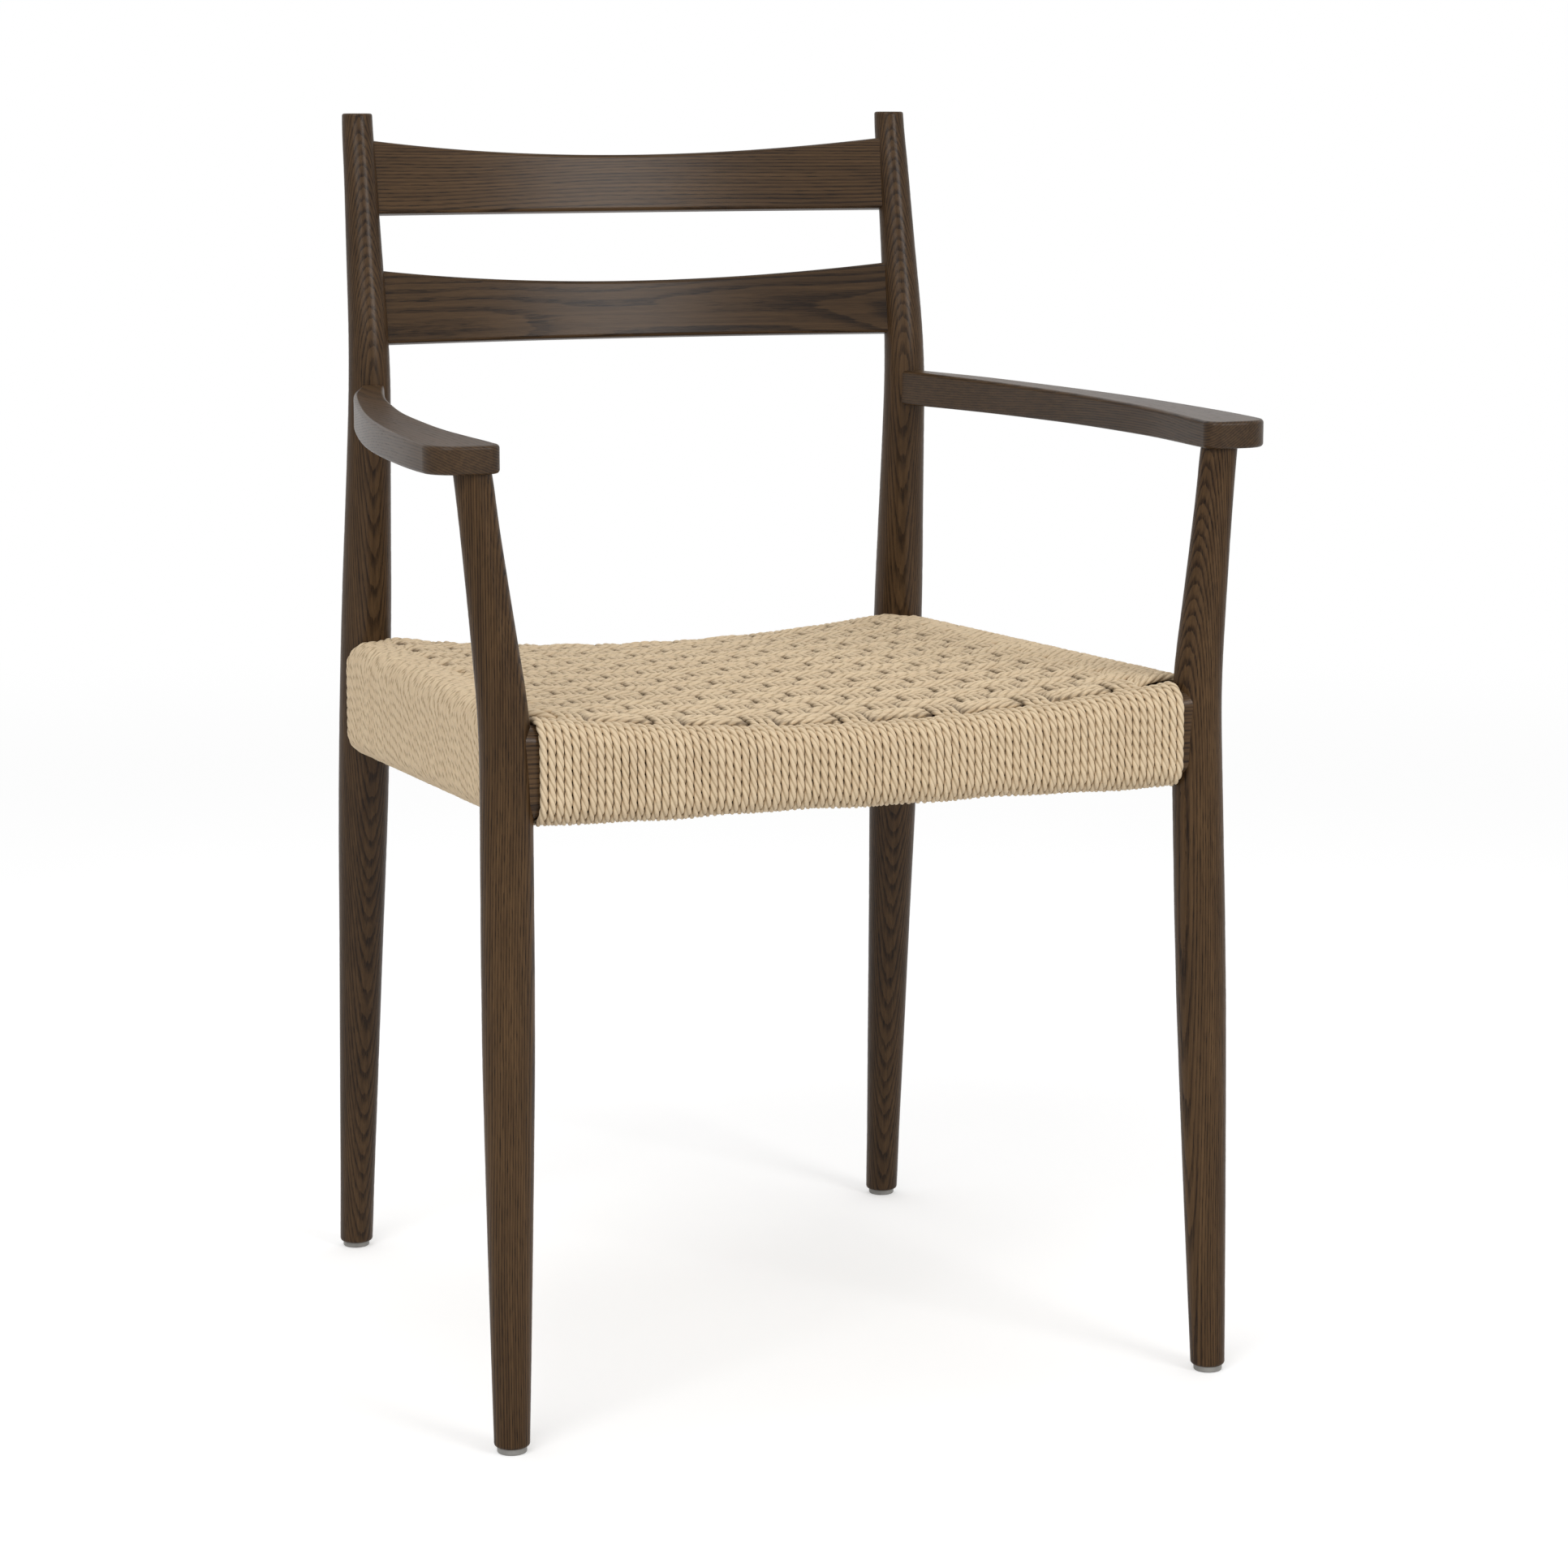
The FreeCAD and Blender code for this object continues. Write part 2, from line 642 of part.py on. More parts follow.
def build():
    """Every node of the chair by name."""
    nodes = {}
    post_right = rear_post_body()
    leg_right = front_leg_body()
    posts = [post_right, mirrored(post_right, LEFT)]

    nodes["upper_slat"] = slat(upper_slat_middle_height, posts)
    nodes["lower_slat"] = slat(lower_slat_middle_height, posts)
    slats = [nodes["upper_slat"], nodes["lower_slat"]]

    # Plain rails, their sleeves of cord, and what pierces both
    front_blank = front_rail_blank(0)
    rear_blank = rear_rail_blank(0)
    side_blank = side_rail_blank(0)
    front_sleeve = front_rail_blank(cord_size)
    rear_sleeve = rear_rail_blank(cord_size)
    side_sleeve = side_rail_blank(cord_size)

    front_middle_y = -front_rail_face_forward + rail_thickness / 2
    rear_middle_y = rear_rail_face_back - rail_thickness / 2
    front_dowels = rail_dowels_across(front_wrap_half_length(), front_middle_y,
                                      front_rail_bottom, front_rail_end_top)
    rear_dowels = rail_dowels_across(rear_wrap_half_length(), rear_middle_y,
                                     rear_rail_bottom, rear_rail_end_top)
    side_dowels = side_rail_dowels()
    front_nails = cross_rail_nails(front_wrap_inner_y() - cord_size, 1, front_rail_bottom,
                                   front_rail_end_top - front_rail_scoop, warp_group_pitch)
    rear_nails = cross_rail_nails(rear_rail_face_back - rail_thickness, -1, rear_rail_bottom,
                                  rear_rail_end_top - rear_rail_scoop, warp_group_pitch * rear_fan_share)
    side_nails = side_rail_nails()

    # Rails, coped against the legs
    both_legs = [leg_right, mirrored(leg_right, LEFT)]
    front_rail = front_blank
    for leg in both_legs:
        front_rail = front_rail.cut(leg)
    front_rail = single(front_rail)
    rear_rail = rear_blank
    for post in posts:
        rear_rail = rear_rail.cut(post)
    rear_rail = single(rear_rail)
    side_rail = single(side_blank.cut([leg_right, post_right, front_rail, rear_rail]))
    side_dowels_both = side_dowels + [mirrored(dowel, LEFT) for dowel in side_dowels]
    nodes["front_rail"] = single(front_rail.cut(front_dowels + front_nails + side_dowels_both))
    nodes["rear_rail"] = single(rear_rail.cut(rear_dowels + rear_nails))
    side_rail = single(side_rail.cut(side_dowels + side_nails))

    # Sleeves of cord, with flat ends just clear of legs and posts
    front_reach = front_wrap_half_length()
    rear_reach = rear_wrap_half_length()
    wide = arm_outer_half_width
    deep = total_height
    front_trim = slab(-front_reach, front_reach, -deep, deep)
    rear_trim = slab(-rear_reach, rear_reach, -deep, deep)
    side_trim = slab(0, wide, side_wrap_front_y(), side_wrap_rear_y())
    front_wrap = single(front_sleeve.common(front_trim).cut([front_blank] + front_nails))
    rear_wrap = single(rear_sleeve.common(rear_trim).cut([rear_blank] + rear_nails))
    side_wrap = single(side_sleeve.common(side_trim).cut([side_blank] + side_nails))
    nodes["front_rail_cord_wrap"] = front_wrap
    nodes["rear_rail_cord_wrap"] = rear_wrap

    cutters = [front_sleeve.common(front_trim), rear_sleeve.common(rear_trim)]
    for side, _ in SIDES:
        cutters.append(mirrored(side_sleeve.common(side_trim), side))
        cutters.append(mirrored(leg_right, side))
        cutters.append(mirrored(post_right, side))
        cutters.append(mirrored(side_blank, side))
    nodes["woven_seat"] = seat_sheet(cutters)

    # Armrests, posts and legs with their joints
    arm_pins = arm_dowels()
    arm = arm_body(post_right)
    arm = single(arm.cut([arm_tenon(), arm_pins]))
    leg = leg_right.fuse(arm_tenon())
    foot = front_leg_centre(0)
    heel = rear_post_centre(0)
    front_pin = glide_pin(foot)
    rear_pin = glide_pin(heel)
    leg = single(leg.cut(front_dowels + side_dowels + [front_pin]))
    post = single(post_right.cut(slats + rear_dowels + side_dowels + [arm_pins, rear_pin]))
    front_glide = glide(foot).cut(front_pin)
    rear_glide = glide(heel).cut(rear_pin)

    pins = []
    for side, name in SIDES:
        nodes["front_leg_" + name] = mirrored(leg, side)
        nodes["rear_post_" + name] = mirrored(post, side)
        nodes["armrest_" + name] = mirrored(arm, side)
        nodes["armrest_dowels_" + name] = mirrored(arm_pins, side)
        nodes["side_rail_" + name] = mirrored(side_rail, side)
        nodes["side_rail_cord_wrap_" + name] = mirrored(side_wrap, side)
        nodes["side_rail_dowels_" + name] = mirrored(Part.makeCompound(side_dowels), side)
        nodes["side_rail_cord_nails_" + name] = mirrored(Part.makeCompound(side_nails), side)
        nodes["front_glide_" + name] = mirrored(front_glide, side)
        nodes["rear_glide_" + name] = mirrored(rear_glide, side)
        pins += [mirrored(front_pin, side), mirrored(rear_pin, side)]
    nodes["glide_pins"] = Part.makeCompound(pins)
    nodes["front_rail_dowels"] = Part.makeCompound(front_dowels)
    nodes["rear_rail_dowels"] = Part.makeCompound(rear_dowels)
    nodes["front_rail_cord_nails"] = Part.makeCompound(front_nails)
    nodes["rear_rail_cord_nails"] = Part.makeCompound(rear_nails)
    return nodes


os.makedirs("parts", exist_ok=True)
for node_name, node_shape in build().items():
    node_shape.exportStep("parts/" + node_name + ".step")
    print(node_name, len(node_shape.Solids), "valid" if node_shape.isValid() else "not valid")
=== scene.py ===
"""Dining armchair with a woven paper-cord seat: its finishes, its cord, its floor, light and camera."""

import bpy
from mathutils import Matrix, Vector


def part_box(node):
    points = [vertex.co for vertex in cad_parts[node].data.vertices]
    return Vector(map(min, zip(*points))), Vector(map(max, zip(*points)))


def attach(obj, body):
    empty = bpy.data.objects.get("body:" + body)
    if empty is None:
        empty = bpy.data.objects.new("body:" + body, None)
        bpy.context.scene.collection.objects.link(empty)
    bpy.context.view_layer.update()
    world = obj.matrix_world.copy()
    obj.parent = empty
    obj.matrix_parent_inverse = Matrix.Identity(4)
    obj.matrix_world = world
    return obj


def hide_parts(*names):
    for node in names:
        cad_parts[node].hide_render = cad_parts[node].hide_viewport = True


bl_info = {
    "name": "Woven Seat Armchair",
    "version": (1, 0, 0),
    "blender": (4, 5, 0),
    "location": "View3D > Sidebar > Armchair",
    "description": "Finishes a dining armchair and weaves its seat from twisted paper cord",
    "category": "Object",
}

import math
import random

import bmesh
import bpy
from bpy.props import FloatProperty, FloatVectorProperty, IntProperty, PointerProperty
from mathutils import Euler, Vector

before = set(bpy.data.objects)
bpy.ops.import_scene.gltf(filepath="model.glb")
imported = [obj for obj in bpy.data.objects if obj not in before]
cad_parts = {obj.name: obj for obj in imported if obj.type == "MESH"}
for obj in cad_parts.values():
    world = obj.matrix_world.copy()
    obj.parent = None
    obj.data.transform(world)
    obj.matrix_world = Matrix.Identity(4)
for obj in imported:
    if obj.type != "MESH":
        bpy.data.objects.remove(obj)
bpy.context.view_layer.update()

SIDES = ("left", "right")
FRONT_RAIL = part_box("front_rail")
REAR_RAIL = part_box("rear_rail")
FRONT_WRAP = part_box("front_rail_cord_wrap")
REAR_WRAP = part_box("rear_rail_cord_wrap")
SIDE_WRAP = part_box("side_rail_cord_wrap_right")

# The rails' own tops and ends, which the boxes of their nodes don't give
FRONT_RAIL_END_TOP = 0.457
REAR_RAIL_END_TOP = 0.4495
FRONT_RAIL_HALF_LENGTH = 0.2347
REAR_RAIL_HALF_LENGTH = 0.2042
SIDE_RAIL_FRONT = -0.2274
SIDE_RAIL_REAR = 0.2074
SIDE_RAIL_HALF_WIDTHS = (0.2253, 0.2046)
SIDE_RAIL_TOPS = (0.4567, 0.448)
SIDE_RAIL_BOTTOMS = (0.400, 0.377)
SIDE_RAIL_HALF_THICKNESS = 0.013

# Across the seat: where the crown and the weave end, and where a row starts to fan out to a side rail
CROWN_HALF_WIDTH = 0.2
WOVEN_HALF_WIDTH = 0.19
FAN_START = 0.186
FAN_INSIDE_RAIL_MIDDLE = 0.002

# How a weft row comes up beside the warp group that it passes under, in spacings of the groups: a
# steep climb, then a long gentle one. Outside the last group it falls, or rises, to the level of the
# side rail, and from the last share of its way on it lies on that rail.
CLIMB_START, CLIMB_LENGTH, CLIMB_RISE = 0.245, 0.185, 1.65
SETTLE_START, SETTLE_LENGTH, SETTLE_RISE = 0.36, 0.5, 0.35
OUTER_FALL_START, OUTER_FALL_LENGTH = 0.25, 0.6
OUTER_RISE_START, OUTER_RISE_LENGTH = 0.24, 0.3
ON_SIDE_RAIL = 0.98

# How a warp group passes from over one row to under the next, and how it levels out beyond the last row,
# in spacings of the rows
CROSSING_START, CROSSING_LENGTH = 0.32, 0.36
EDGE_LENGTH = 0.35

# How much nearer than one cord a row may come to the turns on a rail where it dives
SUNK_SHARE = 0.9

# How far up the inner face of a rail each cord ends, as a share of the rail's height there
WARP_END_SHARE = 0.62
WEFT_END_SHARE = 0.66
TURNS_START_SHARE = 0.5
TURNS_END_SHARE = 0.42

# Waves along the front rail in the droop of its turns: size, radians per metre, start
DROOP_WAVES = ((0.3, 41.0, 0.8), (0.2, 103.0, 2.0))

# The drift of a cord: the number of waves in it, their lengths, their powers and the usual sum of those
DRIFT_WAVES = 3
DRIFT_LENGTHS = (0.05, 0.16)
DRIFT_POWERS = (0.3, 1.0)
DRIFT_SUM = 1.6

# Points of a path: turns below this angle count as straight, and runs below this share of the spacing
# between two rings are left out
STRAIGHT_ANGLE = 0.02
SHORTEST_RUN = 0.3


def size(name, default, description):
    return FloatProperty(name=name, description=description, default=default, min=0.0,
                         unit="LENGTH", subtype="DISTANCE", precision=5)


def colour(name, default, description):
    return FloatVectorProperty(name=name, description=description, default=default, size=3,
                               min=0.0, max=1.0, subtype="COLOR")


def amount(name, default, description):
    return FloatProperty(name=name, description=description, default=default, min=0.0, max=1.0,
                         subtype="FACTOR")


def count(name, default, description):
    return IntProperty(name=name, description=description, default=default, min=1)


class ArmchairCordSettings(bpy.types.PropertyGroup):
    """The twisted cord, its turns on the rails and its weave."""
    thickness: size("Thickness", 0.0053, "Across the cord, over the crests of its plies")
    lay: size("Lay", 0.023, "Length in which one ply goes once round the cord")
    valley: amount("Valley", 0.67, "Radius between two plies, as a share of the radius on a ply")
    shoulder: amount("Shoulder", 0.925, "Radius a quarter of the way to the next ply, as such a share")
    ring_spacing: size("Ring Spacing", 0.0023, "Distance between the rings of the cord's mesh")
    groups: count("Warp Groups", 13, "Groups of cord that run from the front rail to the rear rail")
    group_strands: count("Strands in a Group", 3, "Cords side by side in one warp group")
    plain_turns: count("Plain Turns", 3, "Turns round a rail between two warp groups")
    end_turns: count("End Turns", 4, "Turns round the front rail outside the last warp group")
    rows: count("Weft Rows", 20, "Rows of cord that run from side rail to side rail")
    row_strands: count("Strands in a Row", 4, "Cords side by side in one weft row")
    warp_lift: size("Warp Lift", 0.0020, "How far a warp cord rises over, or dips under, the weft")
    weft_lift: size("Weft Lift", 0.0028, "How far a weft cord rises over, or dips under, the warp")
    crown: size("Crown", 0.0055, "How far the tight weave pulls the middle of the seat up")
    front_scoop: size("Front Scoop", 0.018, "Hollow in the top of the front rail")
    rear_scoop: size("Rear Scoop", 0.0148, "Hollow in the top of the rear rail")
    rail_rounding: size("Rail Rounding", 0.012, "Rounding along the edges of the rails")
    row_front: size("First Row", 0.2165, "Distance of the first row's edge in front of the middle")
    row_rear: size("Last Row", 0.1975, "Distance of the last row's edge behind the middle")
    looseness: size("Looseness", 0.00022, "How far a cord wanders from its place by hand weaving")
    # Painted shade deep in the weave: distance from its middle layer where it is darkest, and where it
    # ends
    painted_shade_from: size("Dark From", 0.0008, "Distance from the weave's middle layer where it is darkest")
    painted_shade_to: size("Dark To", 0.0043, "Distance from the weave's middle layer where it is fully lit")
    warp_spread: amount("Warp Spread", 0.07, "How much a group widens where it lies on top")
    group_arch: size("Group Arch", 0.0003, "How far the middle cord of a group rises over the others")
    row_width: FloatProperty(name="Row Width", default=1.025, min=0.5, max=1.2,
                             description="Width of a row, as a share of the spacing of the rows")
    row_pinch: amount("Row Pinch", 0.09, "How much a row narrows where it dives")
    side_gap: size("Side Gap", 0.0006, "Gap on a side rail between the cords of two rows")
    give: size("Give", 0.0004, "How far the paper gives way where two cords press on each other")
    droop: size("Droop", 0.0016, "How far the turns may hang below the front rail")
    seed: count("Seed", 7, "Start of the random numbers for the cord")
    light_paper: colour("Light Paper", (0.755, 0.61, 0.415), "Paper on the crests")
    dark_paper: colour("Dark Paper", (0.60, 0.455, 0.295), "Paper in the darker fibres")
    # Painted shade deep in the weave
    shade: colour("Shade", (0.055, 0.032, 0.018), "Paper deep in the weave")
    # Painted shade in the valleys between the plies
    crease_shade: colour("Crease", (0.30, 0.205, 0.105), "Paper deep between two plies")


class ArmchairFinishSettings(bpy.types.PropertyGroup):
    """The stained wood and the small fittings."""
    ring_width: size("Ring Width", 0.0016, "Width of one year's growth")
    ring_share: amount("Ring Share", 0.46, "How much lighter the late wood of each ring is")
    cloud_share: amount("Cloud Share", 0.30, "How much lighter the broad clouds in the stain are")
    streak_share: amount("Streak Share", 0.32, "How much lighter the fine streaks along the grain are")
    slat_radius: size("Slat Radius", 0.641, "Radius of the bow of the slats, which their grain follows")
    dark_wood: colour("Dark Wood", (0.024, 0.0115, 0.005), "Open early wood under the stain")
    light_wood: colour("Light Wood", (0.122, 0.068, 0.030), "Dense late wood under the stain")
    pore: colour("Pores", (0.006, 0.003, 0.0015), "Stain that has gathered in the pores")
    plain_wood: colour("Plain Wood", (0.48, 0.33, 0.19), "Dowels without stain")
    steel: colour("Nail Steel", (0.45, 0.44, 0.42), "Nails and pins")
    glide: colour("Glide Plastic", (0.30, 0.29, 0.27), "Glides under the feet")


class ArmchairStageSettings(bpy.types.PropertyGroup):
    """The floor, the light and the camera."""
    floor_radius: size("Floor Radius", 7.0, "Radius of the pale floor")
    floor_colour: colour("Floor", (0.8, 0.8, 0.8), "Colour of the floor")
    camera_place: FloatVectorProperty(name="Camera Place", description="Where the camera stands",
                                      default=(-0.9824, -2.6776, 0.8478), size=3,
                                      unit="LENGTH", subtype="XYZ")
    camera_yaw: FloatProperty(name="Camera Turn", description="Turn to the right from straight ahead",
                              default=math.radians(20.79), subtype="ANGLE")
    camera_pitch: FloatProperty(name="Camera Dip", description="Tilt down from level",
                                default=math.radians(9.53), subtype="ANGLE")
    lens: FloatProperty(name="Lens", description="Focal length on a 36 mm sensor, in millimetres",
                        default=97.24, min=1.0)
    lighting: amount("Lighting", 0.5, "Strength of the white surroundings as a light")
    glow: amount("Glow", 0.4, "White that is added to the floor round the chair, as the camera sees it")
    fade_from: size("Fade From", 1.2, "Distance at which the floor begins to fade to white")
    fade_to: size("Fade To", 3.5, "Distance from which the floor is all white")


# Small helpers

def mix(start, end, share):
    return start + (end - start) * share


def clamp(value, low=0.0, high=1.0):
    return max(low, min(high, value))


def smooth(share):
    share = clamp(share)
    return share * share * (3.0 - 2.0 * share)


def arc_height(x, half_length, scoop, end_height):
    """Height of a hollow arc that is scoop deep in its middle."""
    bend = (half_length * half_length + scoop * scoop) / (2.0 * scoop)
    return end_height - scoop + bend - math.sqrt(bend * bend - x * x)


def link(piece):
    bpy.context.scene.collection.objects.link(piece)
    return piece


# Paths of the cord. Every path is the line of a cord's middle.

def add_run(path, target, spacing):
    start = path[-1].copy()
    run = target - start
    steps = int(round(run.length / spacing))
    if run.length < spacing * SHORTEST_RUN:
        return
    for step in range(1, max(1, steps) + 1):
        path.append(start + run * (step / max(1, steps)))


def rounded_path(corners, radius, spacing):
    """Points along straight runs with every corner rounded."""
    path = [corners[0].copy()]
    for before, corner, after in zip(corners, corners[1:], corners[2:]):
        inward = (corner - before).normalized()
        onward = (after - corner).normalized()
        turn = inward.angle(onward)
        if turn < STRAIGHT_ANGLE:
            add_run(path, corner, spacing)
            continue
        reach = radius * math.tan(turn / 2.0)
        start = corner - inward * reach
        add_run(path, start, spacing)
        side = (onward - inward * inward.dot(onward)).normalized()
        centre = start + side * radius
        steps = max(3, int(math.ceil(radius * turn / spacing)))
        for step in range(1, steps + 1):
            angle = turn * step / steps
            path.append(centre - side * (radius * math.cos(angle)) + inward * (radius * math.sin(angle)))
    add_run(path, corners[-1], spacing)
    return path


class SeatPlan:
    """Where the rails lie, and where each cord runs, worked out from the frame and the settings."""

    def __init__(self, cord):
        self.cord = cord
        self.half = cord.thickness / 2.0
        self.rounding = cord.rail_rounding + self.half
        low, high = FRONT_RAIL
        self.front_out = low[1] - self.half
        self.front_in = high[1] + self.half
        self.front_low = low[2] - self.half
        self.front_top = FRONT_RAIL_END_TOP + self.half
        low, high = REAR_RAIL
        self.rear_out = high[1] + self.half
        self.rear_in = low[1] - self.half
        self.rear_low = low[2] - self.half
        self.rear_top = REAR_RAIL_END_TOP + self.half
        self.front_reach = FRONT_WRAP[1][0] - self.half
        self.rear_reach = REAR_WRAP[1][0] - self.half
        self.front_middle = (self.front_out + self.front_in) / 2.0
        self.rear_middle = (self.rear_out + self.rear_in) / 2.0
        self.side_front = SIDE_WRAP[0][1] + self.half
        self.side_rear = SIDE_WRAP[1][1] - self.half
        turns = cord.groups * cord.group_strands + (cord.groups - 1) * cord.plain_turns
        self.rear_turns = turns
        self.front_turns = turns + 2 * cord.end_turns
        self.front_pitch = 2.0 * self.front_reach / (self.front_turns - 1)
        self.rear_pitch = 2.0 * self.rear_reach / (self.rear_turns - 1)
        self.row_pitch = (cord.row_front + cord.row_rear) / cord.rows
        self.group_turns = cord.group_strands + cord.plain_turns

    def front_x(self, turn):
        return -self.front_reach + turn * self.front_pitch

    def rear_x(self, turn):
        return -self.rear_reach + turn * self.rear_pitch

    def depth_share(self, y):
        return clamp((y - self.front_middle) / (self.rear_middle - self.front_middle))

    def front_height(self, x):
        return arc_height(x, FRONT_RAIL_HALF_LENGTH, self.cord.front_scoop, self.front_top)

    def rear_height(self, x):
        x = clamp(x, -REAR_RAIL_HALF_LENGTH, REAR_RAIL_HALF_LENGTH)
        return arc_height(x, REAR_RAIL_HALF_LENGTH, self.cord.rear_scoop, self.rear_top)

    def seat_height(self, x, y):
        """Height of the middle layer of the weave."""
        share = self.depth_share(y)
        bulge = 4.0 * self.cord.crown * share * (1.0 - share) * clamp(1.0 - (x / CROWN_HALF_WIDTH) ** 2)
        return mix(self.front_height(x), self.rear_height(x), share) + bulge

    def front_bottom(self, x):
        """The turns on the front rail hang a little loose, and unevenly."""
        sway = sum((power * math.sin(x * pace + start) for power, pace, start in DROOP_WAVES), 0.5)
        return self.front_low - self.cord.droop * clamp(sway)

    def side_share(self, y):
        return (y - SIDE_RAIL_FRONT) / (SIDE_RAIL_REAR - SIDE_RAIL_FRONT)

    def side_half_width(self, y):
        return mix(*SIDE_RAIL_HALF_WIDTHS, self.side_share(y))

    def side_top(self, y):
        return mix(*SIDE_RAIL_TOPS, self.side_share(y)) + self.half

    def side_low(self, y):
        return mix(*SIDE_RAIL_BOTTOMS, self.side_share(y)) - self.half

    def group_place(self, x, y):
        """Place across the seat, counted in warp groups."""
        share = self.depth_share(y)
        pitch = mix(self.front_pitch, self.rear_pitch, share) * self.group_turns
        return x / pitch + (self.cord.groups - 1) / 2.0

    def weft_over(self, x, y, row):
        """1 where a weft row lies on top of a warp group, -1 where it dives under one."""
        place = self.group_place(x, y)
        last = self.cord.groups - 1
        nearest = int(clamp(math.floor(place + 0.5), 0, last))
        outside = place < 0.0 or place > last
        away = abs(place - nearest)
        if (nearest + row) % 2:
            if outside:
                return 1.0 - smooth((away - OUTER_FALL_START) / OUTER_FALL_LENGTH)
            away = 1.0 - away
        elif outside:
            return -1.0 + smooth((away - OUTER_RISE_START) / OUTER_RISE_LENGTH)
        climb = CLIMB_RISE * smooth((away - CLIMB_START) / CLIMB_LENGTH)
        return -1.0 + climb + SETTLE_RISE * smooth((away - SETTLE_START) / SETTLE_LENGTH)

    def painted_weave_shade(self, x, y, z):
        """0 on the open faces of the weave and on the rails, up to 1 in the middle of its layers: the
        share of painted shade deep in the weave.
        """
        cord = self.cord
        if abs(x) > WOVEN_HALF_WIDTH or not -cord.row_front < y < cord.row_rear:
            return 0.0
        away = abs(z - self.seat_height(x, y))
        return 1.0 - smooth((away - cord.painted_shade_from) / (cord.painted_shade_to - cord.painted_shade_from))

    def warp_over(self, group, y):
        """1 where a warp group lies on top of a weft row, -1 where it dives under one."""
        rows = self.cord.rows
        place = (y + self.cord.row_front) / self.row_pitch
        if place < 0.0 or place > rows:
            edge_row = 0 if place < 0.0 else rows - 1
            away = abs(place - (0.0 if place < 0.0 else rows))
            sign = 1.0 if (group + edge_row) % 2 == 0 else -1.0
            return sign * 0.5 * (1.0 - smooth(away / EDGE_LENGTH))
        row = min(int(place), rows - 1)
        sign = 1.0 if (group + row) % 2 == 0 else -1.0
        away = abs(place - row - 0.5)
        outermost = (row == 0 and place < 0.5) or (row == rows - 1 and place > row + 0.5)
        fall = smooth((away - CROSSING_START) / CROSSING_LENGTH)
        reach = 1.0 if outermost else 2.0
        return sign * (1.0 - reach * fall)

    def clear_of_loops(self, x, y, z, over):
        """Lift a weft cord that would sink into the turns on the front or rear rail."""
        sunk = SUNK_SHARE * max(0.0, -over)
        need = self.rounding + self.cord.thickness * (1.0 - sunk) - self.cord.give
        for middle, inner, top in (
            (self.front_in - self.rounding, 1.0, self.front_height(x)),
            (self.rear_in + self.rounding, -1.0, self.rear_height(x)),
        ):
            aside = (y - middle) * inner
            if aside < need:
                level = top - self.rounding
                lowest = level + math.sqrt(max(0.0, need * need - max(0.0, aside) ** 2))
                z = max(z, lowest)
        return z


def wander(rng, reach):
    """A slow random drift along a cord, as a function of the distance along it."""
    waves = [(rng.uniform(*DRIFT_LENGTHS), rng.uniform(0.0, math.tau), rng.uniform(*DRIFT_POWERS))
             for _ in range(DRIFT_WAVES)]

    def drift(distance):
        total = sum(power * math.sin(distance / length * math.tau + start)
                    for length, start, power in waves)
        return reach * total / DRIFT_SUM
    return drift


def plain_turns_path(plan, turns, front):
    """One cord wound round the front or rear rail, stepping sideways on the hidden inner face."""
    spacing = plan.cord.ring_spacing
    corners = []
    for number, turn in enumerate(turns):
        if front:
            x = plan.front_x(turn)
            inner, outer = plan.front_in, plan.front_out
            low, top = plan.front_bottom(x), plan.front_height(x)
        else:
            x = plan.rear_x(turn)
            inner, outer = plan.rear_in, plan.rear_out
            low, top = plan.rear_low, plan.rear_height(x)
        if number == 0:
            corners.append(Vector((x, inner, mix(low, top, TURNS_START_SHARE))))
        corners += [Vector((x, inner, low)), Vector((x, outer, low)), Vector((x, outer, top)),
                    Vector((x, inner, top))]
    corners.append(Vector((x, inner, mix(low, top, TURNS_END_SHARE))))
    return rounded_path(corners, plan.rounding, spacing)


def warp_path(plan, group, strand, rng):
    """A cord from inside the front rail, round it, across the seat and round the rear rail."""
    cord = plan.cord
    spacing = cord.ring_spacing
    front_x = plan.front_x(cord.end_turns + group * plan.group_turns + strand)
    rear_x = plan.rear_x(group * plan.group_turns + strand)
    top = plan.front_height(front_x)
    low = plan.front_bottom(front_x)
    start = rounded_path([
        Vector((front_x, plan.front_in, mix(low, top, WARP_END_SHARE))),
        Vector((front_x, plan.front_in, low)),
        Vector((front_x, plan.front_out, low)),
        Vector((front_x, plan.front_out, top)),
        Vector((front_x, plan.front_middle, top)),
    ], plan.rounding, spacing)
    drift = wander(rng, cord.looseness)
    centre_turn = group * plan.group_turns + 1
    front_centre = plan.front_x(cord.end_turns + centre_turn)
    rear_centre = plan.rear_x(centre_turn)
    middle = []
    span = plan.rear_middle - plan.front_middle
    steps = int(span / spacing)
    for step in range(1, steps):
        y = plan.front_middle + span * step / steps
        share = step / steps
        over = plan.warp_over(group, y)
        centre_x = mix(front_centre, rear_centre, share)
        x = centre_x + (mix(front_x, rear_x, share) - centre_x) * (1.0 + cord.warp_spread * over)
        z = plan.seat_height(x, y) + over * cord.warp_lift
        if strand == 1:
            z += cord.group_arch * max(0.0, over)
        middle.append(Vector((x + drift(y), y, z)))
    top = plan.rear_height(rear_x)
    end = rounded_path([
        Vector((rear_x, plan.rear_middle, top)),
        Vector((rear_x, plan.rear_out, top)),
        Vector((rear_x, plan.rear_out, plan.rear_low)),
        Vector((rear_x, plan.rear_in, plan.rear_low)),
        Vector((rear_x, plan.rear_in, mix(plan.rear_low, top, WARP_END_SHARE))),
    ], plan.rounding, spacing)
    return start + middle + end


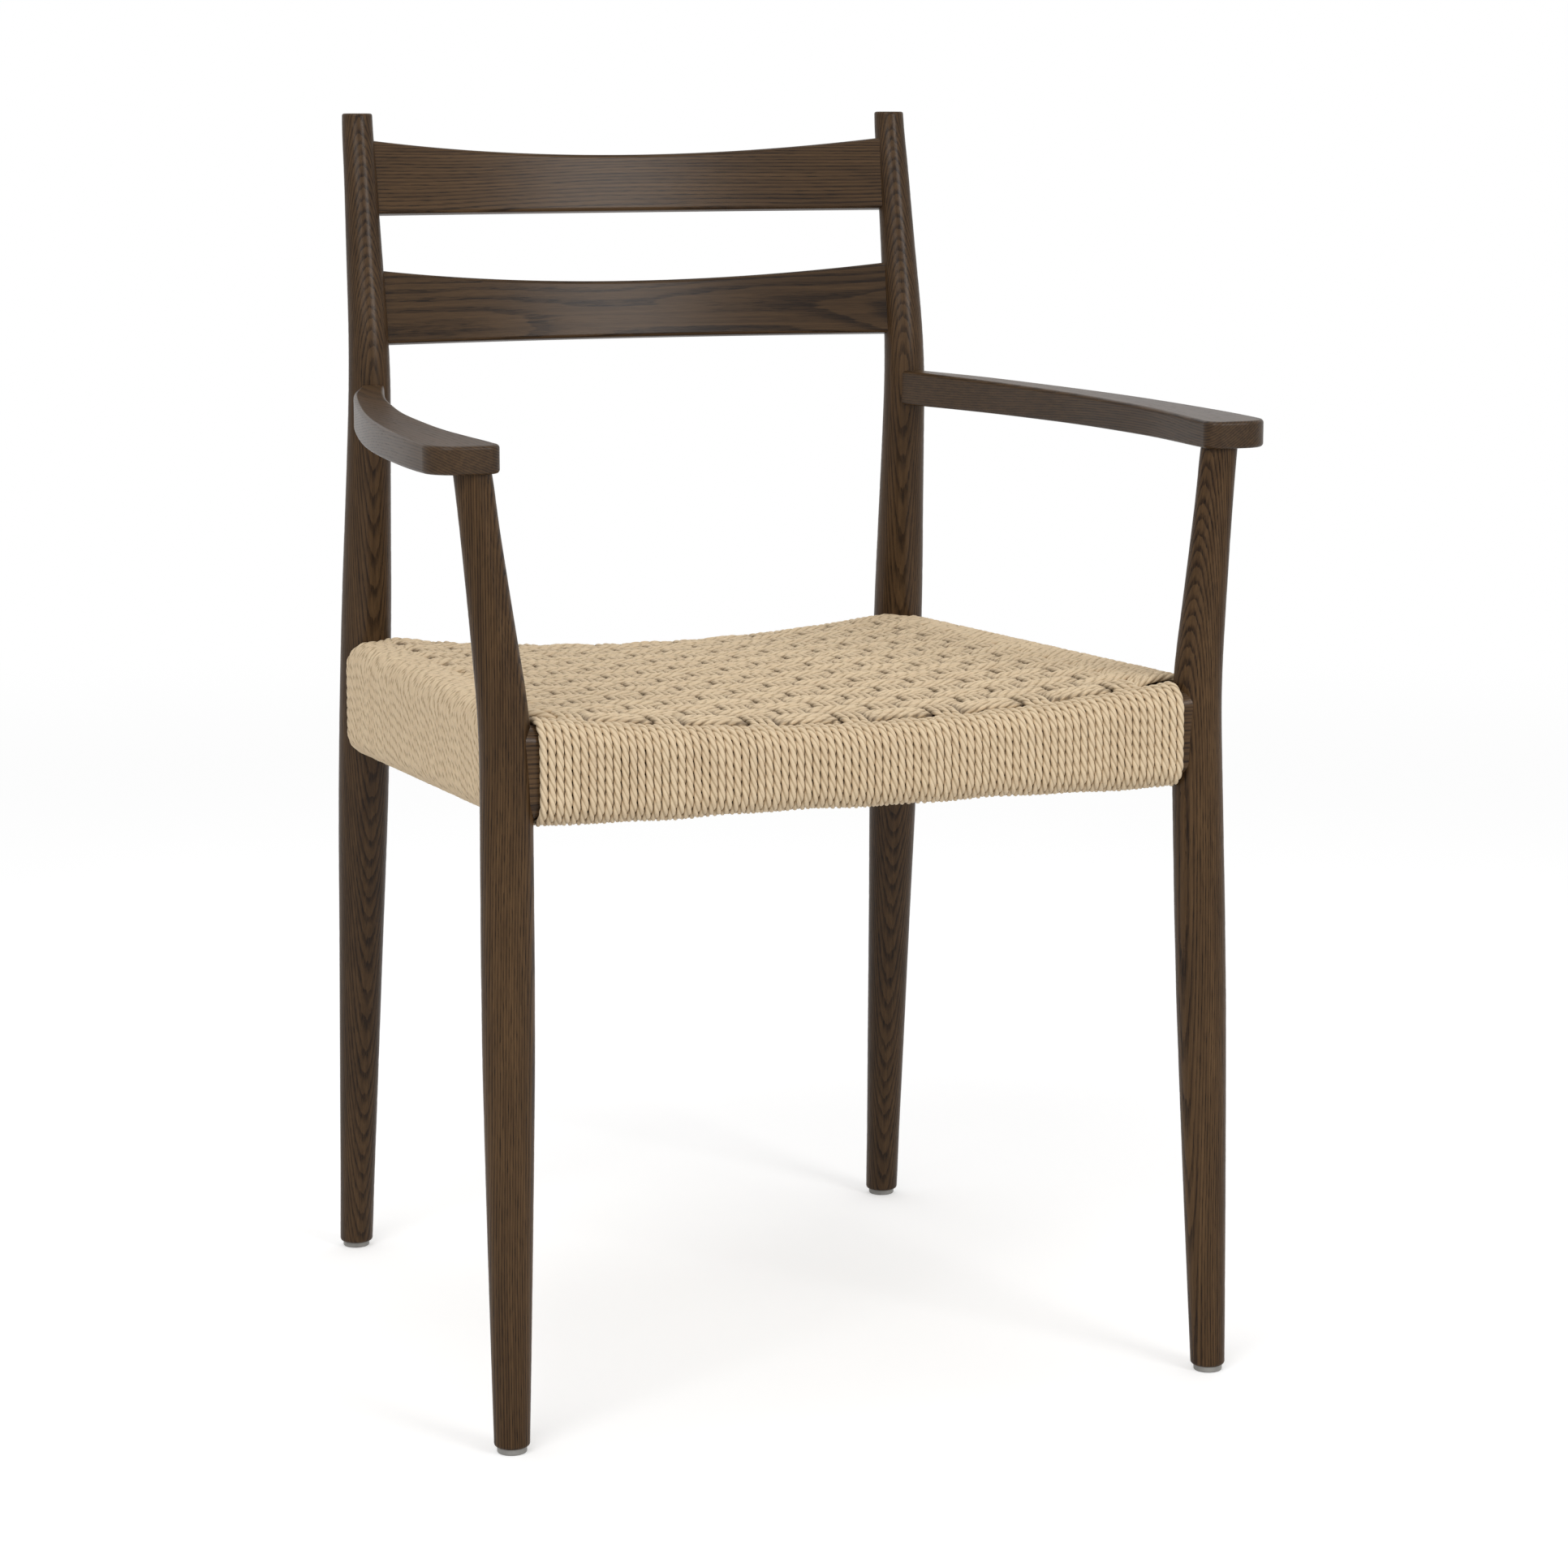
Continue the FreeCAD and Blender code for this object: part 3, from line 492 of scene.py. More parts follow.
def weft_side(plan, y, side, spacing):
    """A cord round one side rail, from inside the rail to the top of it."""
    half_width = plan.side_half_width(y)
    inner = half_width - SIDE_RAIL_HALF_THICKNESS - plan.half
    outer = half_width + SIDE_RAIL_HALF_THICKNESS + plan.half
    top = plan.side_top(y)
    low = plan.side_low(y)
    return rounded_path([
        Vector((side * inner, y, mix(low, top, WEFT_END_SHARE))),
        Vector((side * inner, y, low)),
        Vector((side * outer, y, low)),
        Vector((side * outer, y, top)),
        Vector((side * (half_width - FAN_INSIDE_RAIL_MIDDLE), y, top)),
    ], plan.rounding, spacing)


def weft_path(plan, row, strand, rng):
    """A cord from inside the left rail, round it, across the seat and round the right rail."""
    cord = plan.cord
    spacing = cord.ring_spacing
    number = row * cord.row_strands + strand
    last = cord.rows * cord.row_strands - 1
    side_y = mix(plan.side_front, plan.side_rear, number / last)
    loose = random.Random(cord.seed * 100 + row).random()
    side_y += (1.5 - strand) * cord.side_gap * loose / 3.0 + rng.uniform(-0.5, 0.5) * cord.looseness
    centre_y = -cord.row_front + (row + 0.5) * plan.row_pitch
    offset = (strand - (cord.row_strands - 1) / 2.0) * plan.row_pitch / cord.row_strands
    edge = plan.side_half_width(side_y) - FAN_INSIDE_RAIL_MIDDLE
    top = plan.side_top(side_y)
    drift = wander(rng, cord.looseness)
    left = weft_side(plan, side_y, -1, spacing)
    right = weft_side(plan, side_y, 1, spacing)
    middle = []
    steps = int(2.0 * edge / spacing)
    for step in range(1, steps):
        x = -edge + 2.0 * edge * step / steps
        over = plan.weft_over(x, centre_y, row)
        y = centre_y + offset * (cord.row_width - cord.row_pinch * max(0.0, -over))
        away = smooth((abs(x) - FAN_START) / (edge - FAN_START))
        y = mix(y + drift(x + 1.0), side_y, away)
        z = plan.seat_height(x, y) + over * cord.weft_lift
        z -= cord.give * max(0.0, over) * (abs(offset) / plan.half - 1.0)
        z = mix(z, top, away)
        if away < ON_SIDE_RAIL and abs(x) < plan.front_reach:
            z = plan.clear_of_loops(x, y, z, over)
        middle.append(Vector((x, y, z)))
    return left + middle + right[::-1]


# Meshes of the cord

SECTION_POINTS = 12

# How the cords differ: their radius and its swell, and the lay, as shares of the settings
MEAN_RADIUS = 0.995
SWELL = 0.03
LAY_RANGE = (0.94, 1.07)

# How fast the fibres' pattern runs along a cord, and the range of its start
FIBRES_PER_METRE = 67.0
FIBRE_STARTS = 9.0

# Faces of the cord that look down get no painted shade: Z of their normal where the painted shade
# starts, and how it rises
UNDERSIDE_END = -0.5
UNDERSIDE_FADE = 0.6


def cord_section(cord):
    """Closed outline across the cord: three round plies with valleys between them."""
    outline = bpy.data.curves.new("cord_section", "CURVE")
    outline.dimensions = "2D"
    spline = outline.splines.new("POLY")
    spline.points.add(SECTION_POINTS - 1)
    shares = (1.0, cord.shoulder, cord.valley, cord.shoulder)
    for index in range(SECTION_POINTS):
        angle = math.tau * index / SECTION_POINTS
        radius = cord.thickness / 2.0 * shares[index % len(shares)]
        spline.points[index].co = (radius * math.cos(angle), radius * math.sin(angle), 0.0, 1.0)
    spline.use_cyclic_u = True
    return link(bpy.data.objects.new("cord_section", outline))


def twisted_cord(name, paths, plan, seed):
    """Twisted cord along each path, as one mesh that carries each ply's own coordinates."""
    cord = plan.cord
    rng = random.Random(seed)
    section = cord_section(cord)
    curve = bpy.data.curves.new(name, "CURVE")
    curve.dimensions = "3D"
    curve.twist_mode = "MINIMUM"
    curve.bevel_mode = "OBJECT"
    curve.bevel_object = section
    ply_values = []
    tone_values = []
    ring = [(math.cos(math.tau * index / SECTION_POINTS), math.sin(math.tau * index / SECTION_POINTS))
            for index in range(SECTION_POINTS)]
    for path in paths:
        spline = curve.splines.new("POLY")
        spline.points.add(len(path) - 1)
        places = []
        tilts = []
        radii = []
        distance = 0.0
        phase = rng.uniform(0.0, math.tau)
        start = rng.uniform(0.0, FIBRE_STARTS)
        swell = wander(rng, SWELL)
        tone = rng.uniform(0.0, 1.0)
        lay = cord.lay * rng.uniform(*LAY_RANGE)
        for index, place in enumerate(path):
            if index:
                distance += (place - path[index - 1]).length
            places += [place.x, place.y, place.z, 1.0]
            tilts.append(phase - math.tau * distance / lay)
            radii.append(MEAN_RADIUS + swell(distance))
            for across, up in ring:
                ply_values += [across, up, start + distance * FIBRES_PER_METRE]
                tone_values.append(tone)
        spline.points.foreach_set("co", places)
        spline.points.foreach_set("tilt", tilts)
        spline.points.foreach_set("radius", radii)
    holder = link(bpy.data.objects.new(name + "_line", curve))
    bpy.context.view_layer.update()
    graph = bpy.context.evaluated_depsgraph_get()
    mesh = bpy.data.meshes.new_from_object(holder.evaluated_get(graph), depsgraph=graph)
    bpy.data.objects.remove(holder)
    bpy.data.objects.remove(section)
    if len(mesh.vertices) != len(tone_values):
        raise RuntimeError("the mesh of %s has %d points, not %d"
                           % (name, len(mesh.vertices), len(tone_values)))
    ply = mesh.attributes.new("ply", "FLOAT_VECTOR", "POINT")
    ply.data.foreach_set("vector", ply_values)
    tones = mesh.attributes.new("tone", "FLOAT", "POINT")
    tones.data.foreach_set("value", tone_values)
    shell = bmesh.new()
    shell.from_mesh(mesh)
    bmesh.ops.holes_fill(shell, edges=[edge for edge in shell.edges if edge.is_boundary])
    bmesh.ops.recalc_face_normals(shell, faces=shell.faces)
    for face in shell.faces:
        face.smooth = True
    shell.to_mesh(mesh)
    shell.free()
    # Share of painted shade deep in the weave, kept off faces that look down
    painted_shade_shares = mesh.attributes.new("depth", "FLOAT", "POINT")
    painted_shade_shares.data.foreach_set("value", [
        plan.painted_weave_shade(*point.co) * smooth((point.normal.z - UNDERSIDE_END) / UNDERSIDE_FADE)
        for point in mesh.vertices])
    mesh.name = name
    mesh.materials.clear()
    mesh.materials.append(paper_cord(cord))
    piece = link(bpy.data.objects.new(name, mesh))
    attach(piece, "root")
    return piece


# Materials

def new_material(name):
    material = bpy.data.materials.new(name)
    material.use_nodes = True
    tree = material.node_tree
    return material, tree, tree.nodes["Principled BSDF"]


def add(tree, kind, **settings):
    node = tree.nodes.new("ShaderNode" + kind)
    for key, value in settings.items():
        setattr(node, key, value)
    return node


def wire(tree, source, target):
    tree.links.new(source, target)


def math_node(tree, operation, first, second=None, third=None):
    node = add(tree, "Math", operation=operation)
    for index, value in enumerate((first, second, third)):
        if value is None:
            continue
        if isinstance(value, (int, float)):
            node.inputs[index].default_value = value
        else:
            wire(tree, value, node.inputs[index])
    return node.outputs[0]


def mixed_colour(tree, share, first, second):
    node = add(tree, "Mix", data_type="RGBA")
    wire(tree, share, node.inputs[0])
    for index, value in ((6, first), (7, second)):
        if isinstance(value, bpy.types.NodeSocket):
            wire(tree, value, node.inputs[index])
        else:
            node.inputs[index].default_value = (*value, 1.0)
    return node.outputs[2]


def ramp(tree, value, low, high):
    node = add(tree, "MapRange", interpolation_type="SMOOTHSTEP")
    wire(tree, value, node.inputs["Value"])
    node.inputs["From Min"].default_value = low
    node.inputs["From Max"].default_value = high
    return node.outputs["Result"]


def noise(tree, vector, scale, detail=2.0, roughness=0.5):
    node = add(tree, "TexNoise")
    node.inputs["Scale"].default_value = scale
    node.inputs["Detail"].default_value = detail
    node.inputs["Roughness"].default_value = roughness
    wire(tree, vector, node.inputs["Vector"])
    return node


def stretched(tree, vector, scale):
    node = add(tree, "Mapping")
    wire(tree, vector, node.inputs["Vector"])
    node.inputs["Scale"].default_value = scale
    return node.outputs["Vector"]


def grain_noise(tree, place, across, along, detail=2.0, roughness=0.5):
    """Noise with so many cells in a metre across the grain and so many along it."""
    return noise(tree, stretched(tree, place, (across, across, along)), 1.0, detail, roughness)


def bump(tree, height, strength, distance):
    node = add(tree, "Bump")
    node.inputs["Strength"].default_value = strength
    node.inputs["Distance"].default_value = distance
    wire(tree, height, node.inputs["Height"])
    return node.outputs["Normal"]


def paper_cord(cord):
    """Matt natural paper, twisted: fibres run along each ply, with painted shade in the valleys between
    the plies and deep in the weave.
    """
    known = bpy.data.materials.get("paper_cord_twist")
    if known:
        return known
    material, tree, surface = new_material("paper_cord_twist")
    ply = add(tree, "Attribute", attribute_name="ply").outputs["Vector"]
    tone = add(tree, "Attribute", attribute_name="tone").outputs["Fac"]
    place = add(tree, "TexCoord").outputs["Object"]
    fibres = noise(tree, ply, 2.6, 3.0, 0.6).outputs["Fac"]
    creases = noise(tree, ply, 6.5, 2.0, 0.6).outputs["Fac"]
    mottle = noise(tree, place, 38.0, 3.0).outputs["Fac"]
    tones = math_node(tree, "MULTIPLY_ADD", tone, 0.22, math_node(tree, "MULTIPLY", mottle, 0.3))
    share = math_node(tree, "MULTIPLY_ADD", ramp(tree, fibres, 0.35, 0.7), 0.5, tones)
    paper = mixed_colour(tree, share, tuple(cord.light_paper), tuple(cord.dark_paper))
    parts = add(tree, "SeparateXYZ")
    wire(tree, ply, parts.inputs[0])
    # The cosine of three times the angle round the cord: 1 on the crests of the plies, -1 between them
    cosine = parts.outputs["X"]
    cube = math_node(tree, "POWER", math_node(tree, "ABSOLUTE", cosine), 3.0)
    signed = math_node(tree, "MULTIPLY", cube, math_node(tree, "SIGN", cosine))
    valley = math_node(tree, "SUBTRACT", math_node(tree, "MULTIPLY", cosine, 3.0),
                       math_node(tree, "MULTIPLY", signed, 4.0))
    # Painted shade: the paper darkens towards the crease colour in the valleys between the plies
    deep = math_node(tree, "MULTIPLY", ramp(tree, valley, 0.25, 1.0), 0.6)
    crease_shaded = mixed_colour(tree, deep, paper, tuple(cord.crease_shade))
    # Painted shade: the paper darkens towards the shade colour deep in the weave
    depth = add(tree, "Attribute", attribute_name="depth").outputs["Fac"]
    shaded = math_node(tree, "MULTIPLY", depth, 0.95)
    wire(tree, mixed_colour(tree, shaded, crease_shaded, tuple(cord.shade)), surface.inputs["Base Color"])
    surface.inputs["Roughness"].default_value = 0.62
    surface.inputs["Specular IOR Level"].default_value = 0.28
    height = math_node(tree, "MULTIPLY_ADD", creases, 0.5, fibres)
    wire(tree, bump(tree, height, 0.5, 0.0004), surface.inputs["Normal"])
    return material


GRAIN_TURNS = {
    "x": (0.0, math.pi / 2.0, 0.0),
    "y": (math.pi / 2.0, 0.0, 0.0),
    "z": (0.0, 0.0, 0.0),
}


def grain_place(tree, node, grain, pith, bow_radius):
    """Coordinates with the grain along Z and the tree's pith at X = 0 and Y = 0."""
    low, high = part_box(node)
    turn = Euler(GRAIN_TURNS[grain])
    mapping = add(tree, "Mapping")
    wire(tree, add(tree, "TexCoord").outputs["Object"], mapping.inputs["Vector"])
    mapping.inputs["Rotation"].default_value = turn
    middle = turn.to_matrix() @ ((low + high) / 2.0)
    mapping.inputs["Location"].default_value = Vector((*pith, 0.0)) - middle
    place = mapping.outputs["Vector"]
    if not bow_radius:
        return place
    parts = add(tree, "SeparateXYZ")
    wire(tree, place, parts.inputs[0])
    square = math_node(tree, "POWER", parts.outputs["Z"], 2.0)
    fall = math_node(tree, "MULTIPLY", square, 0.5 / bow_radius)
    straight = add(tree, "CombineXYZ")
    wire(tree, parts.outputs["X"], straight.inputs["X"])
    wire(tree, math_node(tree, "ADD", parts.outputs["Y"], fall), straight.inputs["Y"])
    wire(tree, parts.outputs["Z"], straight.inputs["Z"])
    return straight.outputs["Vector"]


def year_rings(tree, place, ring_width):
    """0 in the open early wood of each year's ring, rising to 1 in its dense late wood."""
    drift = grain_noise(tree, place, 7.0, 1.9, roughness=0.45)
    shift = add(tree, "VectorMath", operation="MULTIPLY_ADD")
    wire(tree, drift.outputs["Color"], shift.inputs[0])
    shift.inputs[1].default_value = (0.020, 0.020, 0.0)
    wire(tree, place, shift.inputs[2])
    reach = add(tree, "VectorMath", operation="LENGTH")
    wire(tree, stretched(tree, shift.outputs["Vector"], (1.0, 1.0, 0.0)), reach.inputs[0])
    fine = grain_noise(tree, place, 330.0, 11.0).outputs["Fac"]
    years = math_node(tree, "MULTIPLY_ADD", reach.outputs["Value"], 1.0 / ring_width,
                      math_node(tree, "MULTIPLY", fine, 0.6))
    year = math_node(tree, "FRACT", years)
    return math_node(tree, "MULTIPLY", ramp(tree, year, 0.08, 0.55),
                     math_node(tree, "SUBTRACT", 1.0, ramp(tree, year, 0.92, 1.0)))


# Each on wood as it left the workshop, and on wood that hands have polished
PORE_STRENGTHS = (0.8, 0.3)
COAT_ROUGHNESSES = (0.27, 0.36)
GRAIN_BUMPS = (0.35, 0.12)


def stained_ash(node, grain, pith, finish, depth, coat, bow_radius=0.0, polish=0.0):
    """Open-grained ash with a dark stain: year rings, pores full of stain, and a satin coat; depth
    darkens the stain, partly as the piece's own tone and partly as painted shade.
    """
    material, tree, surface = new_material("stained_ash_" + node)
    place = grain_place(tree, node, grain, pith, bow_radius)
    late = year_rings(tree, place, finish.ring_width)
    early = math_node(tree, "SUBTRACT", 1.0, late)
    pores = grain_noise(tree, place, 1650.0, 75.0, detail=1.0).outputs["Fac"]
    open_pores = math_node(tree, "MULTIPLY", ramp(tree, pores, 0.48, 0.66),
                           math_node(tree, "MULTIPLY_ADD", early, 0.75, 0.25))
    cloud = grain_noise(tree, place, 18.0, 3.6, detail=3.0).outputs["Fac"]
    streak = grain_noise(tree, place, 420.0, 7.0, detail=3.0, roughness=0.6).outputs["Fac"]
    streaks = math_node(tree, "MULTIPLY", ramp(tree, streak, 0.36, 0.66), finish.streak_share)
    clouds = math_node(tree, "MULTIPLY_ADD", ramp(tree, cloud, 0.3, 0.72), finish.cloud_share, streaks)
    share = math_node(tree, "MULTIPLY_ADD", late, finish.ring_share, clouds)
    # depth darkens the stain: partly the piece's own tone, partly painted shade on the rear posts and
    # the lower slat
    wood = mixed_colour(tree, share, [value * depth for value in finish.dark_wood],
                        [value * depth for value in finish.light_wood])
    filled = math_node(tree, "MULTIPLY", open_pores, mix(*PORE_STRENGTHS, polish))
    wire(tree, mixed_colour(tree, filled, wood, tuple(finish.pore)), surface.inputs["Base Color"])
    shine = add(tree, "MapRange")
    wire(tree, math_node(tree, "MAXIMUM", open_pores, math_node(tree, "MULTIPLY", cloud, 0.5)),
         shine.inputs["Value"])
    shine.inputs["To Min"].default_value = 0.34
    shine.inputs["To Max"].default_value = 0.58
    wire(tree, shine.outputs["Result"], surface.inputs["Roughness"])
    surface.inputs["Specular IOR Level"].default_value = 0.03
    surface.inputs["Coat Weight"].default_value = coat
    surface.inputs["Coat Roughness"].default_value = mix(*COAT_ROUGHNESSES, polish)
    height = math_node(tree, "SUBTRACT", math_node(tree, "MULTIPLY", late, 0.35), open_pores)
    grain_bump = bump(tree, height, mix(*GRAIN_BUMPS, polish), 0.00022)
    wire(tree, grain_bump, surface.inputs["Normal"])
    return material


def plain_material(name, tint, roughness, grain, strength, metallic=0.0):
    """A plain finish with a little cloud in its colour and a fine rough surface."""
    material, tree, surface = new_material(name)
    place = add(tree, "TexCoord").outputs["Object"]
    cloud = noise(tree, place, 90.0, 3.0).outputs["Fac"]
    darker = tuple(value * 0.72 for value in tint)
    wire(tree, mixed_colour(tree, ramp(tree, cloud, 0.3, 0.7), darker, tuple(tint)),
         surface.inputs["Base Color"])
    surface.inputs["Roughness"].default_value = roughness
    surface.inputs["Metallic"].default_value = metallic
    fine = grain_noise(tree, place, *grain).outputs["Fac"]
    wire(tree, bump(tree, fine, strength, 0.0002), surface.inputs["Normal"])
    return material


def finish_node(node, material):
    """Give a node of the frame its material."""
    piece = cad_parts[node]
    if not piece.material_slots:
        raise RuntimeError(node + " has no material slot")
    for material_slot in piece.material_slots:
        material_slot.material = material


# Operators

class ARMCHAIR_OT_finish_wood(bpy.types.Operator):
    """Give the legs, posts, armrests, slats and rails their stained ash"""
    bl_idname = "armchair.finish_wood"
    bl_label = "Finish the Wood"

    def execute(self, context):
        finish = context.scene.armchair_finish
        # The depth column darkens each piece's stain: partly its own tone, and partly painted shade on
        # the rear posts and the lower slat, which stand farther back and lower down.
        for side, way in (("left", -1.0), ("right", 1.0)):
            for node, grain, pith, depth, coat, polish in (
                ("front_leg_" + side, "z", (0.062 * way, 0.021), 0.88, 0.18, 0.0),
                ("rear_post_" + side, "z", (0.012 * way, 0.058), 0.72, 0.26, 0.2),
                ("armrest_" + side, "y", (0.03 * way, 0.071), 0.6, 0.38, 1.0),
                ("side_rail_" + side, "y", (0.045 * way, 0.01), 0.8, 0.2, 0.0),
            ):
                finish_node(node, stained_ash(node, grain, pith, finish, depth, coat, 0.0, polish))
        for node, pith, depth, bow_radius in (
            ("upper_slat", (0.034, 0.047), 0.75, finish.slat_radius),
            ("lower_slat", (-0.012, 0.064), 0.60, finish.slat_radius),
            ("front_rail", (0.02, 0.05), 0.8, 0.0),
            ("rear_rail", (0.03, 0.04), 0.8, 0.0),
        ):
            finish_node(node, stained_ash(node, "x", pith, finish, depth, 0.28, bow_radius))
        return {"FINISHED"}


class ARMCHAIR_OT_finish_fittings(bpy.types.Operator):
    """Give the dowels, nails, pins and glides their finish"""
    bl_idname = "armchair.finish_fittings"
    bl_label = "Finish the Fittings"

    def execute(self, context):
        finish = context.scene.armchair_finish
        wood = plain_material("plain_dowel_wood", finish.plain_wood, 0.6, (900.0, 60.0), 0.3)
        steel = plain_material("drawn_nail_steel", finish.steel, 0.35, (2000.0, 400.0), 0.1, 1.0)
        plastic = plain_material("cloudy_glide_plastic", finish.glide, 0.5, (1500.0, 1500.0), 0.2)
        dowels = ["front_rail_dowels", "rear_rail_dowels"]
        nails = ["front_rail_cord_nails", "rear_rail_cord_nails", "glide_pins"]
        glides = []
        for side in SIDES:
            dowels += ["side_rail_dowels_" + side, "armrest_dowels_" + side]
            nails.append("side_rail_cord_nails_" + side)
            glides += ["front_glide_" + side, "rear_glide_" + side]
        for nodes, material in ((dowels, wood), (nails, steel), (glides, plastic)):
            for node in nodes:
                finish_node(node, material)
        return {"FINISHED"}


class ARMCHAIR_OT_wind_front_rail(bpy.types.Operator):
    """Wind the plain turns of cord on the front rail"""
    bl_idname = "armchair.wind_front_rail"
    bl_label = "Wind the Front Rail"

    def execute(self, context):
        cord = context.scene.armchair_cord
        plan = SeatPlan(cord)
        sets = [range(cord.end_turns)]
        for group in range(cord.groups - 1):
            first = cord.end_turns + group * plan.group_turns + cord.group_strands
            sets.append(range(first, first + cord.plain_turns))
        sets.append(range(plan.front_turns - cord.end_turns, plan.front_turns))
        paths = [plain_turns_path(plan, turns, True) for turns in sets]
        piece = twisted_cord("front_rail_turns", paths, plan, cord.seed)
        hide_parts("front_rail_cord_wrap")
        return {"FINISHED"}


class ARMCHAIR_OT_wind_rear_rail(bpy.types.Operator):
    """Wind the plain turns of cord on the rear rail"""
    bl_idname = "armchair.wind_rear_rail"
    bl_label = "Wind the Rear Rail"

    def execute(self, context):
        cord = context.scene.armchair_cord
        plan = SeatPlan(cord)
        paths = []
        for group in range(cord.groups - 1):
            first = group * plan.group_turns + cord.group_strands
            paths.append(plain_turns_path(plan, range(first, first + cord.plain_turns), False))
        piece = twisted_cord("rear_rail_turns", paths, plan, cord.seed + 1)
        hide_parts("rear_rail_cord_wrap")
        return {"FINISHED"}


class ARMCHAIR_OT_lay_warp(bpy.types.Operator):
    """Lay the groups of cord that run from the front rail to the rear rail"""
    bl_idname = "armchair.lay_warp"
    bl_label = "Lay the Warp"

    def execute(self, context):
        cord = context.scene.armchair_cord
        plan = SeatPlan(cord)
        rng = random.Random(cord.seed + 2)
        parts = 3
        for part in range(parts):
            first = round(cord.groups * part / parts)
            after = round(cord.groups * (part + 1) / parts)
            paths = [warp_path(plan, group, strand, rng)
                     for group in range(first, after) for strand in range(cord.group_strands)]
            piece = twisted_cord("warp_cord_%d" % (part + 1), paths, plan, cord.seed + 10 + part)
            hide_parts("woven_seat", "front_rail_cord_wrap", "rear_rail_cord_wrap")
        return {"FINISHED"}


class ARMCHAIR_OT_weave_weft(bpy.types.Operator):
    """Weave the rows of cord that run from side rail to side rail"""
    bl_idname = "armchair.weave_weft"
    bl_label = "Weave the Weft"

    def execute(self, context):
        cord = context.scene.armchair_cord
        plan = SeatPlan(cord)
        rng = random.Random(cord.seed + 3)
        rows_each = 4
        for first in range(0, cord.rows, rows_each):
            paths = [weft_path(plan, row, strand, rng)
                     for row in range(first, min(first + rows_each, cord.rows))
                     for strand in range(cord.row_strands)]
            name = "weft_cord_%d" % (first // rows_each + 1)
            piece = twisted_cord(name, paths, plan, cord.seed + 30 + first)
            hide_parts("woven_seat", "side_rail_cord_wrap_left", "side_rail_cord_wrap_right")
        return {"FINISHED"}


class ARMCHAIR_OT_set_stage(bpy.types.Operator):
    """Set the camera, the lamps, the pale surroundings and the floor"""
    bl_idname = "armchair.set_stage"
    bl_label = "Set the Stage"

    def execute(self, context):
        stage = context.scene.armchair_stage
        context.scene.view_settings.view_transform = "Standard"
        place_camera(context.scene, stage)
        light_world(context.scene, stage)
        for name, place, width, power in (
            ("key_light", (-2.2, -2.6, 3.0), 2.2, 62.0),
            ("fill_light", (1.3, -3.1, 1.9), 1.1, 34.0),
            ("top_light", (0.2, 0.6, 3.4), 2.0, 20.0),
        ):
            place_lamp(name, Vector(place), width, power)
        lay_floor(stage)
        return {"FINISHED"}


def place_camera(scene, stage):
    lens = bpy.data.cameras.new("photo_camera")
    lens.sensor_width = 36.0
    lens.lens = stage.lens
    lens.clip_end = 100.0
    camera = link(bpy.data.objects.new("photo_camera", lens))
    camera.location = stage.camera_place
    camera.rotation_euler = (math.pi / 2.0 - stage.camera_pitch, 0.0, -stage.camera_yaw)
    scene.camera = camera


def place_lamp(name, place, width, power):
    """A square soft lamp that looks at the chair."""
    lamp = bpy.data.lights.new(name, "AREA")
    lamp.shape = "SQUARE"
    lamp.size = width
    lamp.energy = power
    holder = link(bpy.data.objects.new(name, lamp))
    holder.location = place
    aim = Vector((0.0, 0.0, 0.42)) - place
    holder.rotation_euler = aim.to_track_quat("-Z", "Y").to_euler()


def seen_ray(tree):
    """1 for rays from the camera and for mirrored or bent ones, which all see the white surroundings."""
    path = add(tree, "LightPath")
    both = math_node(tree, "MAXIMUM", path.outputs["Is Glossy Ray"], path.outputs["Is Transmission Ray"])
    return math_node(tree, "MAXIMUM", path.outputs["Is Camera Ray"], both)


def white_light(tree, kind, strength):
    node = add(tree, kind)
    node.inputs["Color"].default_value = (1.0, 1.0, 1.0, 1.0)
    node.inputs["Strength"].default_value = strength
    return node.outputs[0]


def either_shader(tree, share, first, second):
    """The first shader where the share is 0 and the second where it is 1."""
    node = add(tree, "MixShader")
    for index, source in enumerate((share, first, second)):
        wire(tree, source, node.inputs[index])
    return node.outputs[0]


def light_world(scene, stage):
    """White surroundings to look at, and a softer white that lights the chair."""
    world = bpy.data.worlds.new("white_surroundings")
    world.use_nodes = True
    scene.world = world
    tree = world.node_tree
    tree.nodes.clear()
    both = either_shader(tree, seen_ray(tree), white_light(tree, "Background", stage.lighting),
                         white_light(tree, "Background", 1.0))
    wire(tree, both, add(tree, "OutputWorld").inputs["Surface"])


